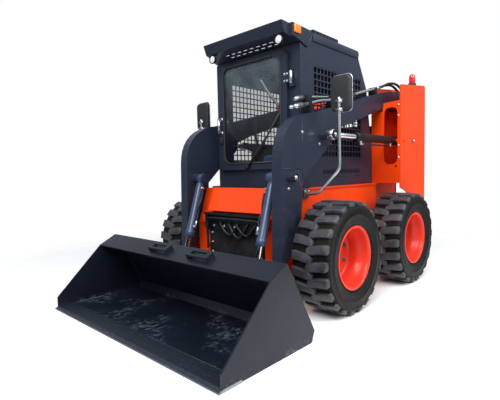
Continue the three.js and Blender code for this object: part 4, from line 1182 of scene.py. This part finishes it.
class LOADER_OT_stage(bpy.types.Operator):
    """Pale floor, soft studio light and the camera"""
    bl_idname = "loader.stage"
    bl_label = "Stage"

    def execute(self, context):
        stage = context.scene.loader_stage
        bm = bmesh.new()
        brick(bm, (-FLOOR_HALF, -FLOOR_HALF, -0.02), (FLOOR_HALF, FLOOR_HALF, 0.0))
        mesh = bpy.data.meshes.new("floor")
        bm.to_mesh(mesh)
        bm.free()
        floor = bpy.data.objects.new("floor", mesh)
        context.scene.collection.objects.link(floor)
        f = Finish("floor_paint")
        reach = f.node("ShaderNodeVectorMath", {0: f.coords}, operation="LENGTH").outputs["Value"]
        f.set(color=f.mix(f.noise(0.6, 3), (0.90, 0.90, 0.90), (0.94, 0.94, 0.94)), rough=0.9,
              alpha=f.steps(reach, *FLOOR_FADE, 1, 0))
        mesh.materials.append(f.material)
        self.world(context, stage.fill)
        self.lamp(context, "key_lamp", (2.5, -5.0, 6.5), 5.0, stage.key * 4)
        self.lamp(context, "side_lamp", (6.0, 1.0, 5.0), 4.0, stage.key * 2)
        self.camera(context)
        context.scene.view_settings.view_transform = "Standard"
        return {"FINISHED"}

    def world(self, context, strength):
        """A bright sky above a darker horizon, and plain white where it is seen directly."""
        world = bpy.data.worlds.new("studio")
        context.scene.world = world
        world.use_nodes = True
        tree = world.node_tree
        back = tree.nodes["Background"]
        direction = tree.nodes.new("ShaderNodeTexCoord").outputs["Generated"]
        rise = tree.nodes.new("ShaderNodeSeparateXYZ")
        tree.links.new(direction, rise.inputs[0])
        sky = tree.nodes.new("ShaderNodeMapRange")
        for key, value in (("From Min", 0.0), ("From Max", 0.75), ("To Min", 0.45), ("To Max", 1.5)):
            sky.inputs[key].default_value = value
        tree.links.new(rise.outputs["Z"], sky.inputs["Value"])
        scaled = tree.nodes.new("ShaderNodeMath")
        scaled.operation = "MULTIPLY"
        scaled.inputs[1].default_value = strength
        tree.links.new(sky.outputs["Result"], scaled.inputs[0])
        rays = tree.nodes.new("ShaderNodeLightPath")
        seen = tree.nodes.new("ShaderNodeMath")
        seen.operation = "MAXIMUM"
        tree.links.new(rays.outputs["Is Camera Ray"], seen.inputs[0])
        tree.links.new(rays.outputs["Is Transmission Ray"], seen.inputs[1])
        level = tree.nodes.new("ShaderNodeMapRange")
        tree.links.new(seen.outputs[0], level.inputs["Value"])
        tree.links.new(scaled.outputs[0], level.inputs["To Min"])
        level.inputs["To Max"].default_value = 1.0
        tree.links.new(level.outputs["Result"], back.inputs["Strength"])
        tint = tree.nodes.new("ShaderNodeMix")
        tint.data_type = "RGBA"
        tree.links.new(seen.outputs[0], tint.inputs[0])
        tint.inputs[6].default_value = (0.86, 0.93, 1.0, 1)
        tint.inputs[7].default_value = (1, 1, 1, 1)
        tree.links.new(tint.outputs[2], back.inputs["Color"])

    def lamp(self, context, name, place, size, power):
        """A large soft lamp turned towards the middle of the machine."""
        data = bpy.data.lights.new(name, "AREA")
        data.size = size
        data.energy = power
        lamp = bpy.data.objects.new(name, data)
        lamp.location = place
        lamp.rotation_mode = "QUATERNION"
        lamp.rotation_quaternion = (LAMP_AIM - Vector(place)).to_track_quat("-Z", "Y")
        context.scene.collection.objects.link(lamp)

    def camera(self, context):
        """Looks towards -x and +y from the machine's front left corner."""
        yaw, pitch, roll = CAMERA_YAW, CAMERA_PITCH, CAMERA_ROLL
        ahead = Vector((-math.sin(yaw) * math.cos(pitch), math.cos(yaw) * math.cos(pitch), math.sin(pitch)))
        right = ahead.cross(Vector((0, 0, 1))).normalized()
        up = right.cross(ahead)
        tilted_right = right * math.cos(roll) + up * math.sin(roll)
        tilted_up = up * math.cos(roll) - right * math.sin(roll)
        data = bpy.data.cameras.new("camera")
        data.lens = CAMERA_LENS
        data.sensor_width = 36
        camera = bpy.data.objects.new("camera", data)
        basis = Matrix((tilted_right, tilted_up, -ahead)).transposed()
        camera.matrix_world = Matrix.Translation(CAMERA_PLACE) @ basis.to_4x4()
        context.scene.collection.objects.link(camera)
        context.scene.camera = camera


class LOADER_PT_panel(bpy.types.Panel):
    """Lists the steps that build the loader"""
    bl_idname = "LOADER_PT_panel"
    bl_label = "Skid steer loader"
    bl_space_type = "VIEW_3D"
    bl_region_type = "UI"
    bl_category = "Loader"

    def draw(self, context):
        for group in SETTINGS:
            box = self.layout.box()
            box.label(text=group[1].__doc__)
            settings = getattr(context.scene, group[0])
            for key in settings.bl_rna.properties.keys():
                if key not in ("rna_type", "name"):
                    box.prop(settings, key)
        for step in STEPS:
            self.layout.operator(step.bl_idname)


SETTINGS = (("loader_paint", LoaderPaint), ("loader_wheels", LoaderWheels), ("loader_guards", LoaderGuards),
            ("loader_stage", LoaderStage))
STEPS = (LOADER_OT_carried, LOADER_OT_tyres, LOADER_OT_rims, LOADER_OT_cylinders, LOADER_OT_guards,
         LOADER_OT_mirrors, LOADER_OT_lamps, LOADER_OT_seat, LOADER_OT_door, LOADER_OT_arm_trim,
         LOADER_OT_bucket_trim, LOADER_OT_frame_trim, LOADER_OT_stage)
CLASSES = (*(group for _, group in SETTINGS), *STEPS, LOADER_PT_panel)


def register():
    for cls in CLASSES:
        bpy.utils.register_class(cls)
    for name, group in SETTINGS:
        setattr(bpy.types.Scene, name, PointerProperty(type=group))


def unregister():
    for name, _ in SETTINGS:
        delattr(bpy.types.Scene, name)
    for cls in reversed(CLASSES):
        bpy.utils.unregister_class(cls)


def main():
    register()
    build_palette(bpy.context.scene.loader_paint)
    for step in STEPS:
        group, name = step.bl_idname.split(".")
        getattr(getattr(bpy.ops, group), name)()


if __name__ == "__main__":
    main()
